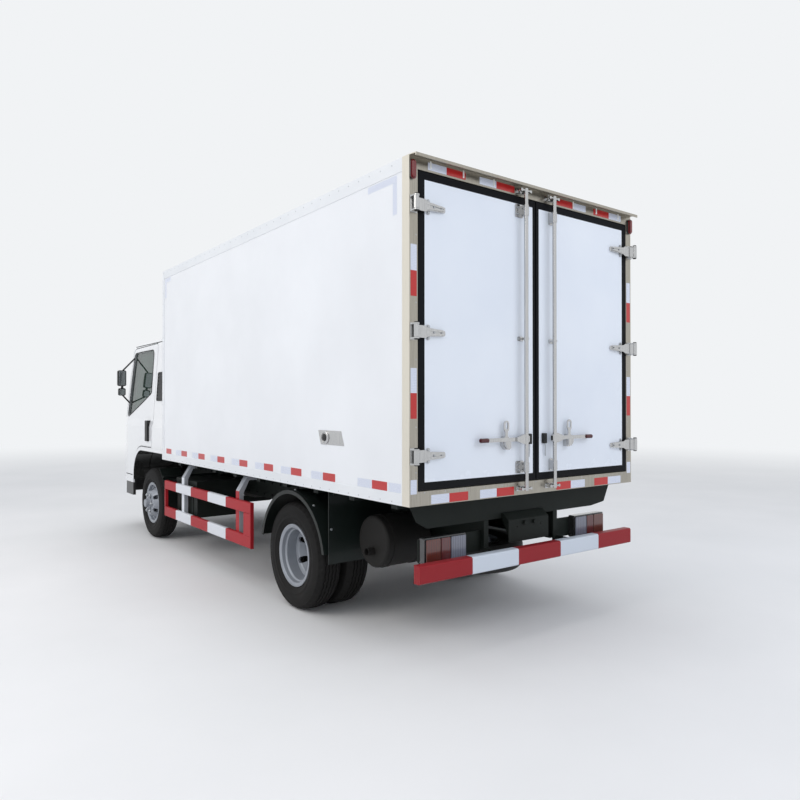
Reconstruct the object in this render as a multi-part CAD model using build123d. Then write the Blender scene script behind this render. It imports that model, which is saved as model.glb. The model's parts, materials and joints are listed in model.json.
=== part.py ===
from build123d import *
import os
from math import cos, pi, sin

# Refrigerated truck: forward-control tilting cab, insulated box, twin rear wheels.
# Millimetres. X points to the truck's left, Y to its rear, Z up from the ground.
# The origin is on the ground, on the centre line, midway along the overall length.

# Insulated box
box_length = 4220
box_width = 2080
box_height = 1970
box_bottom = 915
wall_thick = 80
floor_thick = 100
edge_sheet = 3
bottom_rail_height = 66
top_rail_height = 80
rail_wrap = 60

# Rear frame and its doors
post_width = 60
post_depth = 66
stop_width = 35
stop_depth = 26
header_height = 74
sill_height = 82
eave_reach = 60
eave_sheet = 5
eave_lip = 18
door_clear = 5
door_half_gap = 5
seal_width = 45
seal_thick = 35
door_thick = 80
hinge_setback = 45
hinge_inset = 15
hinge_end_inset = (200, 203)
hinge_middle_drop = 8
hinge_height = 80
hinge_pin_radius = 6
hinge_barrel_radius = 15
blade_reach = 245
rod_place = 135
rod_radius = 13.5
rod_stand_off = 42
handle_height = 1270
handle_reach = 400

# Cab
cab_gap = 95
cab_length = 1590
cab_low = 600
cab_floor = 960
cab_top = 2240
cab_wall = 50
cab_half_low = 985
belt_tuck = 19
roof_tuck = 80
belt_height = 1300
corner_radius = 150
arch_front = 485
arch_radius = 300
tunnel_half = 400
flare_width = 40
flare_lift = 6
glass_thick = 5
glass_inset = 14
pane_clear = 0.3
cab_door_clear = 9
door_sill_clear = 4
door_skin = 12
door_rebate = 12
cab_pivot_back = 200
cab_pivot_height = 690
cab_pin_radius = 15

# Bumpers
bumper_reach = 30
bumper_bottom = 410
bumper_thick = 30
underrun_half = 989
underrun_bottom = 480
underrun_top = 585
underrun_depth = 55
underrun_overhang = 30

# Chassis
front_overhang = 1090
rear_overhang = 1455
rail_top = 760
rail_height = 190
rail_flange = 65
rail_sheet = 7
frame_width = 700
frame_end_inset = 130
sill_beam_width = 70
cross_beam_height = 40
cross_beam_width = 60
cross_beam_pitch = 455
cross_beam_start = 250

# Wheels and axles
tyre_radius = 387.5
tyre_width = 200
rim_radius = 226
bead_radius = 204
rim_half_width = 84
wheel_offset = 117.5
front_wheel_x = 870
rear_twin_x = 775
kingpin_x = 715
kingpin_radius = 15
spindle_radius = 22
rear_spindle_radius = 30
shaft_clear = 0.08
axle_tube_radius = 52
drum_radius = 160
drum_clear = 7
hand_holes = 6
hand_hole_radius = 25
hand_hole_circle = 149
front_leaf_count = 4
rear_leaf_count = 6

# Clearance between pieces that are seated but not joined
seat_gap = 0.3

# Places along the truck
rear_face = (box_length + cab_gap + cab_length + bumper_reach - eave_reach) / 2
box_front = rear_face - box_length
cab_back = box_front - cab_gap
cab_front = cab_back - cab_length
rear_axle_y = rear_face - rear_overhang
front_axle_y = cab_front + front_overhang
axle_height = tyre_radius
box_half = box_width / 2
box_top = box_bottom + box_height
wall_outer = box_half - edge_sheet
wall_inner = wall_outer - wall_thick
floor_top = box_bottom + edge_sheet + floor_thick
frame_half = frame_width / 2
rail_bottom = rail_top - rail_height
cab_pivot_y = cab_front + cab_pivot_back
post_inner = box_half - post_width
header_bottom = box_top - header_height
sill_top = box_bottom + sill_height
hinge_heights = (
    sill_top + hinge_end_inset[0],
    (sill_top + header_bottom) / 2 - hinge_middle_drop,
    header_bottom - hinge_end_inset[1],
)
cab_half_belt = cab_half_low - belt_tuck
cab_half_roof = cab_half_low - roof_tuck
beyond = 115

nodes = {}


# A block between two values on each axis
def block(x, y, z):
    middle = Pos((x[0] + x[1]) / 2, (y[0] + y[1]) / 2, (z[0] + z[1]) / 2)
    return middle * Box(x[1] - x[0], y[1] - y[0], z[1] - z[0])


# A closed outline from rows of first value, second value and corner radius
def outline(rows):
    points = [(row[0], row[1]) for row in rows]
    return make_face(FilletPolyline(*points, radius=[row[2] for row in rows], close=True))


# A side view, rows of Y, Z and radius, carried from one X to another
def along_x(rows, x):
    return extrude(Plane.YZ.offset(x[0]) * outline(rows), x[1] - x[0])


# A plan, rows of X, Y and radius, carried from one Z to another
def along_z(rows, z):
    return extrude(Plane.XY.offset(z[0]) * outline(rows), z[1] - z[0])


# A rear view, rows of X, Z and radius, carried from one Y to another
def along_y(rows, y):
    return extrude(Plane.XZ.offset(-y[1]) * outline(rows), y[1] - y[0])


# A round bar between two points
def bar(radius, start, end):
    run = Vector(*end) - Vector(*start)
    upright = (Align.CENTER, Align.CENTER, Align.MIN)
    return Plane(origin=start, z_dir=run) * Cylinder(radius, run.length, align=upright)


# A turned piece: rows of radius, place along X and corner radius
def turned(rows):
    return Rot(0, 90, 0) * revolve(Plane.XZ * outline(rows), Axis.Z)


def mirrored(solid):
    return mirror(solid, Plane.YZ)


def on_side(solid, side):
    return solid if side > 0 else mirrored(solid)


def keep(name, *solids):
    nodes[name] = Compound(children=[part for solid in solids for part in solid.solids()])


sides = (("left", 1), ("right", -1))


# Frame: two channel rails, cross members, spring hangers and cab rests
spring_table = (
    # axle y, leaf middle x, half length, leaf count, top of the pack at the axle
    (front_axle_y, 330, 540, front_leaf_count, 418),
    (rear_axle_y, 430, 600, rear_leaf_count, 512),
)
tow_radius = 14
tow_thick = 28
tow_reach = 32
tow_wall = 18
leaf_thick = 10
leaf_width = 65
leaf_radius = 3400
eye_radius = 22
hanger_rise = 120
frame_front = cab_pivot_y - 45
frame_back = rear_face - frame_end_inset
cross_member_height = 90
cross_member_width = 60
cross_member_drop = 10
cross_member_places = (60, 460, 2000, 3300)


def rail():
    web = block((frame_half - rail_sheet, frame_half), (frame_front, frame_back), (rail_bottom, rail_top))
    inner = frame_half - rail_flange
    top = block((inner, frame_half), (frame_front, frame_back), (rail_top - rail_sheet, rail_top))
    low = block((inner, frame_half), (frame_front, frame_back), (rail_bottom, rail_bottom + rail_sheet))
    return web + top + low


def eye_height(half_length, pack_top):
    return pack_top + half_length ** 2 / (2 * leaf_radius)


def hanger(axle_y, leaf_x, half_length, pack_top):
    pieces = []
    eye_z = eye_height(half_length, pack_top)
    inner = min(leaf_x - leaf_width / 2, frame_half - rail_sheet)
    outer = leaf_x + leaf_width / 2
    top = rail_bottom if leaf_x < frame_half else rail_bottom + hanger_rise
    for end in (-1, 1):
        eye_y = axle_y + end * half_length
        foot = (eye_y - 35, eye_y + 35)
        pieces.append(block((inner, outer), foot, (eye_z + eye_radius + seat_gap, top)))
    return pieces


half_frame = rail()
for axle_y, leaf_x, half_length, leaf_count, pack_top in spring_table:
    for piece in hanger(axle_y, leaf_x, half_length, pack_top):
        half_frame += piece
cab_pin = bar(cab_pin_radius, (frame_half - rail_sheet, cab_pivot_y, cab_pivot_height),
              (tunnel_half - 3, cab_pivot_y, cab_pivot_height))
half_frame += cab_pin
web_inner = frame_half - rail_sheet
member_top = rail_top - cross_member_drop
member_low = member_top - cross_member_height
member_ys = [frame_front + place for place in cross_member_places]
members = []
for y in member_ys:
    members.append(block((-web_inner, web_inner), (y, y + cross_member_width), (member_low, member_top)))
spare_y = rear_face - 640
spare_z = 445
carrier_plate = spare_z + wheel_offset + seat_gap
spare_member = (spare_y - cross_member_width / 2, spare_y + cross_member_width / 2)
carrier_member = block((-web_inner, web_inner), spare_member, (member_low, member_top))
carrier_member += bar(14, (0, spare_y, carrier_plate), (0, spare_y, member_low + 5))
carrier_member += bar(70, (0, spare_y, carrier_plate), (0, spare_y, carrier_plate + 8))
rest_y = cab_back - 130
rest = block((-frame_half - 60, frame_half + 60), (rest_y, rest_y + 60), (cab_floor - 60, cab_floor - seat_gap))
for side in (1, -1):
    post = block((frame_half - 60, frame_half), (rest_y, rest_y + 60), (rail_top, cab_floor - 60))
    rest += on_side(post, side)
keep("chassis_frame", half_frame, mirrored(half_frame), *members, carrier_member, rest)

# Tow eyes: flat plates with an upright hole, welded under the front of the rails
tow_y = cab_pivot_y + 70
tow_x = frame_half + tow_reach
tow_rows = (
    # x, y, radius
    (frame_half - 45, tow_y - 45, 0),
    (tow_x + tow_radius + tow_wall, tow_y - 36, 26),
    (tow_x + tow_radius + tow_wall, tow_y + 36, 26),
    (frame_half - 45, tow_y + 45, 0),
)
tow_eye = along_z(tow_rows, (rail_bottom - tow_thick, rail_bottom))
tow_eye -= bar(tow_radius, (tow_x, tow_y, rail_bottom - tow_thick - 1), (tow_x, tow_y, rail_bottom + 1))
keep("tow_eyes", tow_eye, mirrored(tow_eye))


# Leaf springs: each pack is stepped leaves on one centre of curvature
def leaf_pack(axle_y, leaf_x, half_length, leaf_count, pack_top):
    centre_z = pack_top + leaf_radius
    pack = None
    for index in range(leaf_count):
        inner = leaf_radius + index * leaf_thick
        reach = half_length * (1 - index / (leaf_count + 1.5))
        angle = reach / leaf_radius
        points = []
        for radius, turn in ((inner, -angle), (inner, 0), (inner, angle)):
            points.append((axle_y + radius * sin(turn), centre_z - radius * cos(turn)))
        low = []
        for turn in (angle, 0, -angle):
            radius = inner + leaf_thick
            low.append((axle_y + radius * sin(turn), centre_z - radius * cos(turn)))
        edges = [ThreePointArc(*points), Line(points[2], low[0]),
                 ThreePointArc(*low), Line(low[2], points[0])]
        face = Plane.YZ.offset(leaf_x - leaf_width / 2) * make_face(edges)
        leaf = extrude(face, leaf_width)
        pack = leaf if pack is None else pack + leaf
    eye_z = eye_height(half_length, pack_top)
    for end in (-1, 1):
        eye_y = axle_y + end * half_length
        pack += bar(eye_radius, (leaf_x - leaf_width / 2, eye_y, eye_z),
                    (leaf_x + leaf_width / 2, eye_y, eye_z))
    return pack


packs = []
for row in spring_table:
    pack = leaf_pack(*row)
    packs += [pack, mirrored(pack)]
keep("leaf_springs", *packs)


# Axles: a dropped beam in front, a tube with its final drive behind
def pack_bottom(row):
    return row[4] - row[3] * leaf_thick


beam_seat = pack_bottom(spring_table[0]) - seat_gap
fork_half = 38
beam_rows = (
    # x, z, radius
    (-kingpin_x, axle_height - fork_half, 0),
    (-kingpin_x + 60, axle_height - fork_half, 20),
    (-470, beam_seat - 78, 60),
    (470, beam_seat - 78, 60),
    (kingpin_x - 60, axle_height - fork_half, 20),
    (kingpin_x, axle_height - fork_half, 0),
    (kingpin_x, axle_height + fork_half, 0),
    (kingpin_x - 60, axle_height + fork_half, 20),
    (470, beam_seat, 60),
    (-470, beam_seat, 60),
    (-kingpin_x + 60, axle_height + fork_half, 20),
    (-kingpin_x, axle_height + fork_half, 0),
)
beam = along_y(beam_rows, (front_axle_y - 40, front_axle_y + 40))
for side in (1, -1):
    centre = (side * kingpin_x, front_axle_y)
    beam += bar(40, (*centre, axle_height - fork_half), (*centre, axle_height + fork_half))
    beam -= bar(kingpin_radius + shaft_clear, (*centre, axle_height - 200), (*centre, axle_height + 200))
keep("front_axle", beam)

backing_x = rear_twin_x - 175
tube = bar(axle_tube_radius, (-backing_x, rear_axle_y, axle_height), (backing_x, rear_axle_y, axle_height))
drive = Pos(0, rear_axle_y, axle_height) * Rot(90, 0, 0) * revolve(
    Plane.XZ * outline(((0, -130, 0), (90, -130, 30), (175, -60, 60), (175, 60, 60), (90, 130, 30), (0, 130, 0))),
    Axis.Z)
pad_top = pack_bottom(spring_table[1]) - seat_gap
rear_axle = tube + drive
for side in (1, -1):
    x = spring_table[1][1]
    pad = block((x - 45, x + 45), (rear_axle_y - 70, rear_axle_y + 70), (axle_height, pad_top))
    backing = bar(drum_radius + 4, (backing_x - 10, rear_axle_y, axle_height), (backing_x, rear_axle_y, axle_height))
    stub = bar(rear_spindle_radius, (backing_x - 10, rear_axle_y, axle_height),
               (rear_twin_x - 35, rear_axle_y, axle_height))
    rear_axle += on_side(pad + backing + stub, side)
engine_back = front_axle_y + 520
shaft_start = engine_back + 420
pinion = bar(60, (0, rear_axle_y - 130, axle_height), (0, rear_axle_y - 250, axle_height + 12))
shaft = bar(42, (0, rear_axle_y - 240, axle_height + 12), (0, shaft_start + 12, 610))
keep("rear_axle", rear_axle + pinion + shaft)

# Engine with its gearbox, as one plain block each
engine = block((-250, 250), (front_axle_y - 330, engine_back), (470, 885))
gearbox = block((-150, 150), (engine_back, shaft_start), (480, 750))
mount_reach = frame_half - rail_sheet - seat_gap
mounts = block((-mount_reach, mount_reach), (front_axle_y + 60, front_axle_y + 180), (600, 690))
keep("engine", engine + gearbox + mounts)


# Tank, battery box, silencer and spare wheel
def rounded_box(x, y, z, radius):
    return fillet(block(x, y, z).edges().filter_by(Axis.Y), radius)


hang_x = frame_half + seat_gap
sill_beam_top = box_bottom - cross_beam_height
tank_top = sill_beam_top - 145
tank_inner = 470
tank_outer = box_half - 160
tank_start = box_front + 620
tank_length = 800
bracket_width = 50
tank = rounded_box((-tank_outer, -tank_inner), (tank_start, tank_start + tank_length), (330, tank_top), 50)
for place in (150, 600):
    y = (tank_start + place, tank_start + place + bracket_width)
    tank += block((-tank_inner, -hang_x), y, (rail_bottom + 20, rail_top - 20))
    strap = rounded_box((-tank_outer - 4, -tank_inner + 4), y, (326, tank_top + 4), 54)
    tank += strap
neck = bar(38, (-tank_outer + 90, tank_start + 90, tank_top - 10), (-tank_outer + 60, tank_start + 90, tank_top + 60))
tank += neck
keep("fuel_tank", tank)
battery_outer = box_half - 140
battery_start = box_front + 70
battery_length = 570
battery_y = (battery_start, battery_start + battery_length)
battery = rounded_box((tank_inner, battery_outer), battery_y, (370, 720), 15)
battery += rounded_box((tank_inner - 6, battery_outer + 8), (battery_y[0] - 8, battery_y[1] + 8), (640, 728), 12)
for place in (70, 250, 430):
    battery += block((battery_outer - 5, battery_outer + 6), (battery_start + place, battery_start + place + 40),
                     (400, 640))
for place in (60, 460):
    y = (battery_start + place, battery_start + place + bracket_width)
    battery += block((hang_x, tank_inner), y, (rail_bottom + 20, rail_top - 20))
keep("battery_box", battery)

silencer_radius = 168
silencer_y = rear_face - 640
silencer_z = 600
silencer = bar(silencer_radius, (480, silencer_y, silencer_z), (840, silencer_y, silencer_z))
silencer = fillet(silencer.edges().filter_by(GeomType.CIRCLE), 20)
for x in (540, 760):
    silencer += bar(silencer_radius + 4, (x, silencer_y, silencer_z), (x + 30, silencer_y, silencer_z))
outlet_z = silencer_z - 60
silencer += bar(27, (830, silencer_y, outlet_z), (890, silencer_y, outlet_z))
silencer -= bar(24, (845, silencer_y, outlet_z), (891, silencer_y, outlet_z))
silencer += bar(30, (hang_x, silencer_y, silencer_z + 60), (490, silencer_y, silencer_z + 60))
keep("silencer", silencer)


# Wheels: rows of radius, place along the axle and corner radius
rim_rows = (
    (rim_radius, -rim_half_width, 0),
    (rim_radius, -rim_half_width + 8, 0),
    (bead_radius, -rim_half_width + 10, 0),
    (bead_radius - 1, -45, 0),
    (190, -38, 0),
    (190, 38, 0),
    (bead_radius - 1, 45, 0),
    (bead_radius, rim_half_width - 10, 0),
    (rim_radius, rim_half_width - 8, 0),
    (rim_radius, rim_half_width, 0),
    (rim_radius - 9, rim_half_width, 0),
    (198, rim_half_width - 5, 6),
    (194, 50, 5),
    (182, 43, 0),
    (182, -43, 6),
    (194, -50, 5),
    (198, -rim_half_width + 5, 6),
    (rim_radius - 9, -rim_half_width, 0),
)
disc_rows = (
    (184, 34, 0),
    (184, 47, 0),
    (165, 56, 18),
    (132, wheel_offset, 26),
    (60, wheel_offset, 0),
    (60, wheel_offset - 10, 0),
    (128, wheel_offset - 10, 20),
    (158, 46, 14),
)


def rim():
    wheel = turned(rim_rows) + turned(disc_rows)
    for index in range(hand_holes):
        turn = 2 * pi * index / hand_holes
        y = hand_hole_circle * sin(turn)
        z = hand_hole_circle * cos(turn)
        wheel -= bar(hand_hole_radius, (30, y, z), (wheel_offset + 20, y, z))
    return wheel


bead_half = rim_half_width - 10
tyre_half = tyre_width / 2
tyre_rows = (
    (bead_radius + seat_gap, -bead_half + 4, 0),
    (228, -bead_half + 0.5, 0),
    (300, -tyre_half, 90),
    (366, -tyre_half + 8, 0),
    (tyre_radius, -tyre_half + 34, 40),
    (tyre_radius, tyre_half - 34, 40),
    (366, tyre_half - 8, 0),
    (300, tyre_half, 90),
    (228, bead_half - 0.5, 0),
    (bead_radius + seat_gap, bead_half - 4, 0),
)
one_rim = rim()
inward_rim = mirrored(one_rim)
one_tyre = turned(tyre_rows)

# Front hub with drum: its disc face is outboard
hub_face = wheel_offset - 10
front_backing = -38
front_hub_rows = (
    (spindle_radius + shaft_clear, front_backing + 12, 0),
    (62, front_backing + 12, 0),
    (62, 30, 0),
    (74, 30, 0),
    (74, wheel_offset + 14, 6),
    (48, wheel_offset + 14, 0),
    (44, wheel_offset + 52, 8),
    (0, wheel_offset + 52, 0),
    (0, 96, 0),
    (spindle_radius + shaft_clear, 96, 0),
)
drum_rows = (
    (drum_radius, front_backing + drum_clear, 0),
    (drum_radius, 62, 10),
    (60, 62, 0),
    (60, 50, 0),
    (drum_radius - 12, 50, 0),
    (drum_radius - 12, front_backing + drum_clear, 0),
)
front_wheel = one_rim + turned(front_hub_rows) + turned(drum_rows)

# Rear hub with drum: the twin rims meet on its flange
rear_hub_rows = (
    (rear_spindle_radius + shaft_clear, -140, 0),
    (72, -140, 0),
    (72, 24, 6),
    (50, 24, 0),
    (50, 34, 4),
    (0, 34, 0),
    (0, -30, 0),
    (rear_spindle_radius + shaft_clear, -30, 0),
)
rear_drum_rows = (
    (drum_radius, -175 + drum_clear, 0),
    (drum_radius, -60, 10),
    (60, -60, 0),
    (60, -72, 0),
    (drum_radius - 12, -72, 0),
    (drum_radius - 12, -175 + drum_clear, 0),
)
twin = (Pos(wheel_offset, 0, 0) * inward_rim) + (Pos(-wheel_offset, 0, 0) * one_rim)
twin += turned(rear_hub_rows) + turned(rear_drum_rows)

for name, side in sides:
    front_place = Pos(side * front_wheel_x, front_axle_y, axle_height)
    keep("front_" + name + "_rim", front_place * on_side(front_wheel, side))
    keep("front_" + name + "_tyre", front_place * on_side(one_tyre, side))
    rear_place = Pos(side * rear_twin_x, rear_axle_y, axle_height)
    keep("rear_" + name + "_rims", rear_place * on_side(twin, side))
    tyres = []
    for spread in (-wheel_offset, wheel_offset):
        tyres.append(Pos(side * (rear_twin_x + spread), rear_axle_y, axle_height) * one_tyre)
    keep("rear_" + name + "_tyres", *tyres)

# Knuckles: kingpin, fork, backing plate and spindle
fork_gap = 1
for name, side in sides:
    fork_low = axle_height - fork_half - fork_gap
    fork_high = axle_height + fork_half + fork_gap
    x = (kingpin_x - 40, kingpin_x + 85)
    y = (front_axle_y - 40, front_axle_y + 40)
    knuckle = block(x, y, (fork_low - 24, fork_low)) + block(x, y, (fork_high, fork_high + 24))
    knuckle += block((kingpin_x + 48, kingpin_x + 85), y, (fork_low - 24, fork_high + 24))
    knuckle += bar(kingpin_radius, (kingpin_x, front_axle_y, fork_low - 24),
                   (kingpin_x, front_axle_y, fork_high + 24))
    spindle_end = front_wheel_x + 90
    knuckle += bar(spindle_radius, (kingpin_x + 60, front_axle_y, axle_height),
                   (spindle_end, front_axle_y, axle_height))
    plate_x = front_wheel_x + front_backing
    knuckle += bar(drum_radius + 4, (plate_x - 10, front_axle_y, axle_height),
                   (plate_x, front_axle_y, axle_height))
    knuckle += bar(40, (kingpin_x + 60, front_axle_y, axle_height), (plate_x - 5, front_axle_y, axle_height))
    keep("front_" + name + "_knuckle", on_side(knuckle, side))

# Spare wheel, slung flat behind the rear axle
spare = Pos(0, spare_y, spare_z) * Rot(0, -90, 0) * one_rim
spare_tyre = Pos(0, spare_y, spare_z) * Rot(0, -90, 0) * one_tyre
keep("spare_wheel", spare_tyre, spare)

# Box subframe: two long sills on the rails and cross beams under the floor
sill = block((frame_half - sill_beam_width, frame_half), (box_front, frame_back), (rail_top, sill_beam_top))
cross_beam_ys = []
beam_y = rear_face - cross_beam_start
while beam_y > box_front + cross_beam_width:
    cross_beam_ys.append(beam_y)
    beam_y -= cross_beam_pitch
beams = []
for y in cross_beam_ys:
    beams.append(block((-box_half + 60, box_half - 60), (y, y + cross_beam_width), (sill_beam_top, box_bottom)))
keep("box_subframe", sill, mirrored(sill), *beams)

# Box panels: floor, sides, front wall and roof butt against each other
panel_back = rear_face - post_depth
panel_low = box_bottom + edge_sheet
panel_top = box_top - edge_sheet
front_outer = box_front + edge_sheet
front_inner = front_outer + wall_thick
keep("box_floor", block((-wall_inner, wall_inner), (front_inner, panel_back), (panel_low, floor_top)))
side_panel = block((wall_inner, wall_outer), (front_outer, panel_back), (panel_low, panel_top))
keep("box_side_left", side_panel)
keep("box_side_right", mirrored(side_panel))
keep("box_front_wall", block((-wall_inner, wall_inner), (front_outer, front_inner), (panel_low, panel_top)))
keep("box_roof", block((-wall_inner, wall_inner), (front_inner, panel_back), (panel_top - wall_thick, panel_top)))

# Aluminium edge rails: angles along every outer edge
shell = block((-box_half, box_half), (box_front, panel_back), (box_bottom, box_top))
shell -= block((-wall_outer, wall_outer), (front_outer, panel_back + 1), (panel_low, panel_top))
window = box_half - rail_wrap
low = box_bottom + bottom_rail_height
high = box_top - top_rail_height
shell -= block((-box_half - 1, box_half + 1), (box_front + rail_wrap, panel_back + 1), (low, high))
shell -= block((-window, window), (box_front - 1, panel_back + 1), (low, high))
shell -= block((-window, window), (box_front + rail_wrap, panel_back + 1), (box_bottom - 1, box_top + 1))
keep("box_edge_rails", shell)

# Stainless rear frame with the door stop, the sill and the rain eave
inner_face = rear_face - post_depth
opening = block((-post_inner, post_inner), (inner_face - 1, rear_face + 1), (sill_top, header_bottom))
stop_back = inner_face + stop_depth
stop = block((-post_inner, post_inner), (inner_face, stop_back), (sill_top, header_bottom))
stop -= block((-post_inner + stop_width, post_inner - stop_width), (inner_face - 1, stop_back + 1),
              (floor_top, header_bottom - stop_width))
ring = block((-box_half, box_half), (inner_face, rear_face), (box_bottom, box_top)) - opening + stop
eave_rows = (
    # y, z, radius
    (rear_face, box_top, 0),
    (rear_face + eave_reach, box_top - 5, 0),
    (rear_face + eave_reach, box_top - 5 - eave_lip, 0),
    (rear_face + eave_reach - eave_sheet, box_top - 5 - eave_lip, 0),
    (rear_face + eave_reach - eave_sheet, box_top - 5 - eave_sheet, 0),
    (rear_face, box_top - eave_sheet, 0),
)
ring += along_x(eave_rows, (-box_half, box_half))
keep("box_rear_frame", ring)

# Fixed hinge brackets, lock keepers and the side vent plate
pivot_x = box_half - hinge_inset
pivot_y = rear_face + hinge_setback
ear_thick = 8
fittings = []
for height in hinge_heights:
    low = height - hinge_height / 2
    high = height + hinge_height / 2
    plate = block((post_inner + 8, box_half - 3), (rear_face, rear_face + 6), (low - 8, high + 8))
    for z in ((low - 4, low + 4), (high - 4, high + 4)):
        ear_rows = (
            # x, y, radius
            (post_inner + 14, rear_face, 0),
            (box_half - 3, rear_face, 0),
            (pivot_x + 14, pivot_y + 14, 12),
            (pivot_x - 14, pivot_y + 14, 12),
        )
        plate += along_z(ear_rows, z)
    plate += bar(hinge_pin_radius, (pivot_x, pivot_y, low - 4), (pivot_x, pivot_y, high + 4))
    fittings.append(plate)
keeper_half = 56
lug_radius = 11
lug_place = 34
for z in ((header_bottom + 14, box_top - 28), (box_bottom + 26, sill_top - 24)):
    base = fillet(block((rod_place - keeper_half, rod_place + keeper_half), (rear_face, rear_face + 6), z)
                  .edges().filter_by(Axis.Y), 10)
    for x in (rod_place - lug_place, rod_place + lug_place):
        middle = (z[0] + z[1]) / 2
        lug = bar(lug_radius, (x, rear_face, middle), (x, rear_face + rod_stand_off - 12, middle))
        base += fillet(lug.edges().filter_by(GeomType.CIRCLE).sort_by(Axis.Y)[-1], 4)
    fittings.append(base)
vent_y = rear_face - 905
vent_z = box_bottom + 355
vent_rows = (
    # y, z, radius
    (vent_y - 92, vent_z + 47, 4),
    (vent_y + 196, vent_z + 47, 4),
    (vent_y + 231, vent_z - 47, 4),
    (vent_y - 59, vent_z - 47, 4),
)
vent = along_x(vent_rows, (wall_outer, wall_outer + 2))
vent_ring = bar(45, (wall_outer, vent_y, vent_z), (box_half + 9, vent_y, vent_z))
vent_ring = fillet(vent_ring.edges().filter_by(GeomType.CIRCLE).sort_by(Axis.X)[-1], 6)
vent += vent_ring - bar(33, (box_half + 4, vent_y, vent_z), (box_half + 10, vent_y, vent_z))
vent += bar(26, (wall_outer, vent_y, vent_z), (box_half + 7, vent_y, vent_z))
keep("box_fittings", *fittings, *[mirrored(piece) for piece in fittings], vent)

# Rear doors: insulated leaf, its seal ring, and hinge blades with lock gear
leaf_low = sill_top + door_clear
leaf_high = header_bottom - door_clear
leaf_outer = post_inner - door_clear
panel_x = (door_half_gap + 25, leaf_outer - seal_width)
panel_z = (leaf_low + seal_width, leaf_high - seal_width)
panel = block(panel_x, (rear_face - door_thick, rear_face), panel_z)
seal = block((door_half_gap, leaf_outer), (rear_face - seal_thick, rear_face), (leaf_low, leaf_high))
seal -= block(panel_x, (rear_face - door_thick, rear_face + 1), panel_z)

blade_half = hinge_height / 2 - ear_thick / 2 - 1
blade_tip = pivot_x - blade_reach
blade_nose = 15
rib_wide = 11
rib_lift = 9
ear_x = panel_x[1] - 22
ear_radius = 13
blade_rows = (
    # x, y, radius
    (blade_tip, rear_face, 0),
    (panel_x[1] - 20, rear_face, 0),
    (panel_x[1], rear_face + 13, 8),
    (pivot_x - 10, rear_face + 13, 8),
    (pivot_x + 8, pivot_y - 12, 0),
    (pivot_x - 8, pivot_y + 8, 0),
    (pivot_x - 26, rear_face + 27, 10),
    (blade_tip + 30, rear_face + 15, 30),
    (blade_tip, rear_face + 6, 0),
)
hardware = None
for height in hinge_heights:
    blade = along_z(blade_rows, (height - blade_half, height + blade_half))
    taper_rows = (
        # x, z, radius
        (pivot_x + 40, height - blade_half, 0),
        (pivot_x + 40, height + blade_half, 0),
        (panel_x[1] + 10, height + blade_half, 12),
        (panel_x[1] - 8, height + blade_half - 11, 12),
        (blade_tip, height + blade_nose + 1, 14),
        (blade_tip, height - blade_nose - 1, 14),
        (panel_x[1] - 8, height - blade_half + 11, 12),
        (panel_x[1] + 10, height - blade_half, 12),
    )
    blade = blade & along_y(taper_rows, (rear_face - 1, pivot_y + 60))
    for way in (-1, 1):
        near = height + way * 15
        far = height + way * 7
        rib_rows = (
            # x, z, radius
            (panel_x[1] + 22, near + rib_wide / 2, 4),
            (blade_tip + 16, far + rib_wide / 2 - 1, 4),
            (blade_tip + 16, far - rib_wide / 2 + 1, 4),
            (panel_x[1] + 22, near - rib_wide / 2, 4),
        )
        blade += along_y(rib_rows, (rear_face + 4, rear_face + 15 + rib_lift))
        lobe = (ear_x, height + way * (blade_half - 4))
        blade += bar(ear_radius, (lobe[0], rear_face, lobe[1]), (lobe[0], rear_face + 6, lobe[1]))
    blade += bar(hinge_barrel_radius, (pivot_x, pivot_y, height - blade_half),
                 (pivot_x, pivot_y, height + blade_half))
    blade -= bar(hinge_pin_radius + shaft_clear, (pivot_x, pivot_y, height - 60), (pivot_x, pivot_y, height + 60))
    hardware = blade if hardware is None else hardware + blade
rod_y = rear_face + rod_stand_off
rod_low = box_bottom + 30
rod_high = box_top - 32
rod = bar(rod_radius, (rod_place, rod_y, rod_low), (rod_place, rod_y, rod_high))
sleeve_table = (
    # lower z, upper z, plate reach outboard
    (header_bottom - 137, header_bottom - 54, 58),
    ((sill_top + header_bottom) / 2 - 14, (sill_top + header_bottom) / 2 + 14, 40),
    (sill_top + 58, sill_top + 134, 58),
)
sleeve_radius = 17
for low, high, reach in sleeve_table:
    rod += fillet(block((rod_place - 12, rod_place + reach), (rear_face, rear_face + 7), (low, high))
                  .edges().filter_by(Axis.Y), 9)
    rod += bar(sleeve_radius, (rod_place, rod_y, low + 8), (rod_place, rod_y, high - 8))
    rod += block((rod_place - 12, rod_place + 12), (rear_face + 7, rod_y), (low + 8, high - 8))
cam_half = 50
cam_thick = 10
for z in ((rod_low, rod_low + 26), (rod_high - 26, rod_high)):
    middle = (z[0] + z[1]) / 2
    cam_rows = (
        # x, z, radius
        (rod_place - cam_half, z[0], 7),
        (rod_place - cam_half, z[1], 8),
        (rod_place - 24, middle + 3, 9),
        (rod_place, z[1], 9),
        (rod_place + 24, middle + 3, 9),
        (rod_place + cam_half, z[1], 8),
        (rod_place + cam_half, z[0], 7),
        (rod_place + 24, middle - 3, 9),
        (rod_place, z[0], 9),
        (rod_place - 24, middle - 3, 9),
    )
    rod += along_y(cam_rows, (rod_y - cam_thick / 2, rod_y + cam_thick / 2))
handle_y = (rod_y - 12, rod_y - 4)
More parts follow.
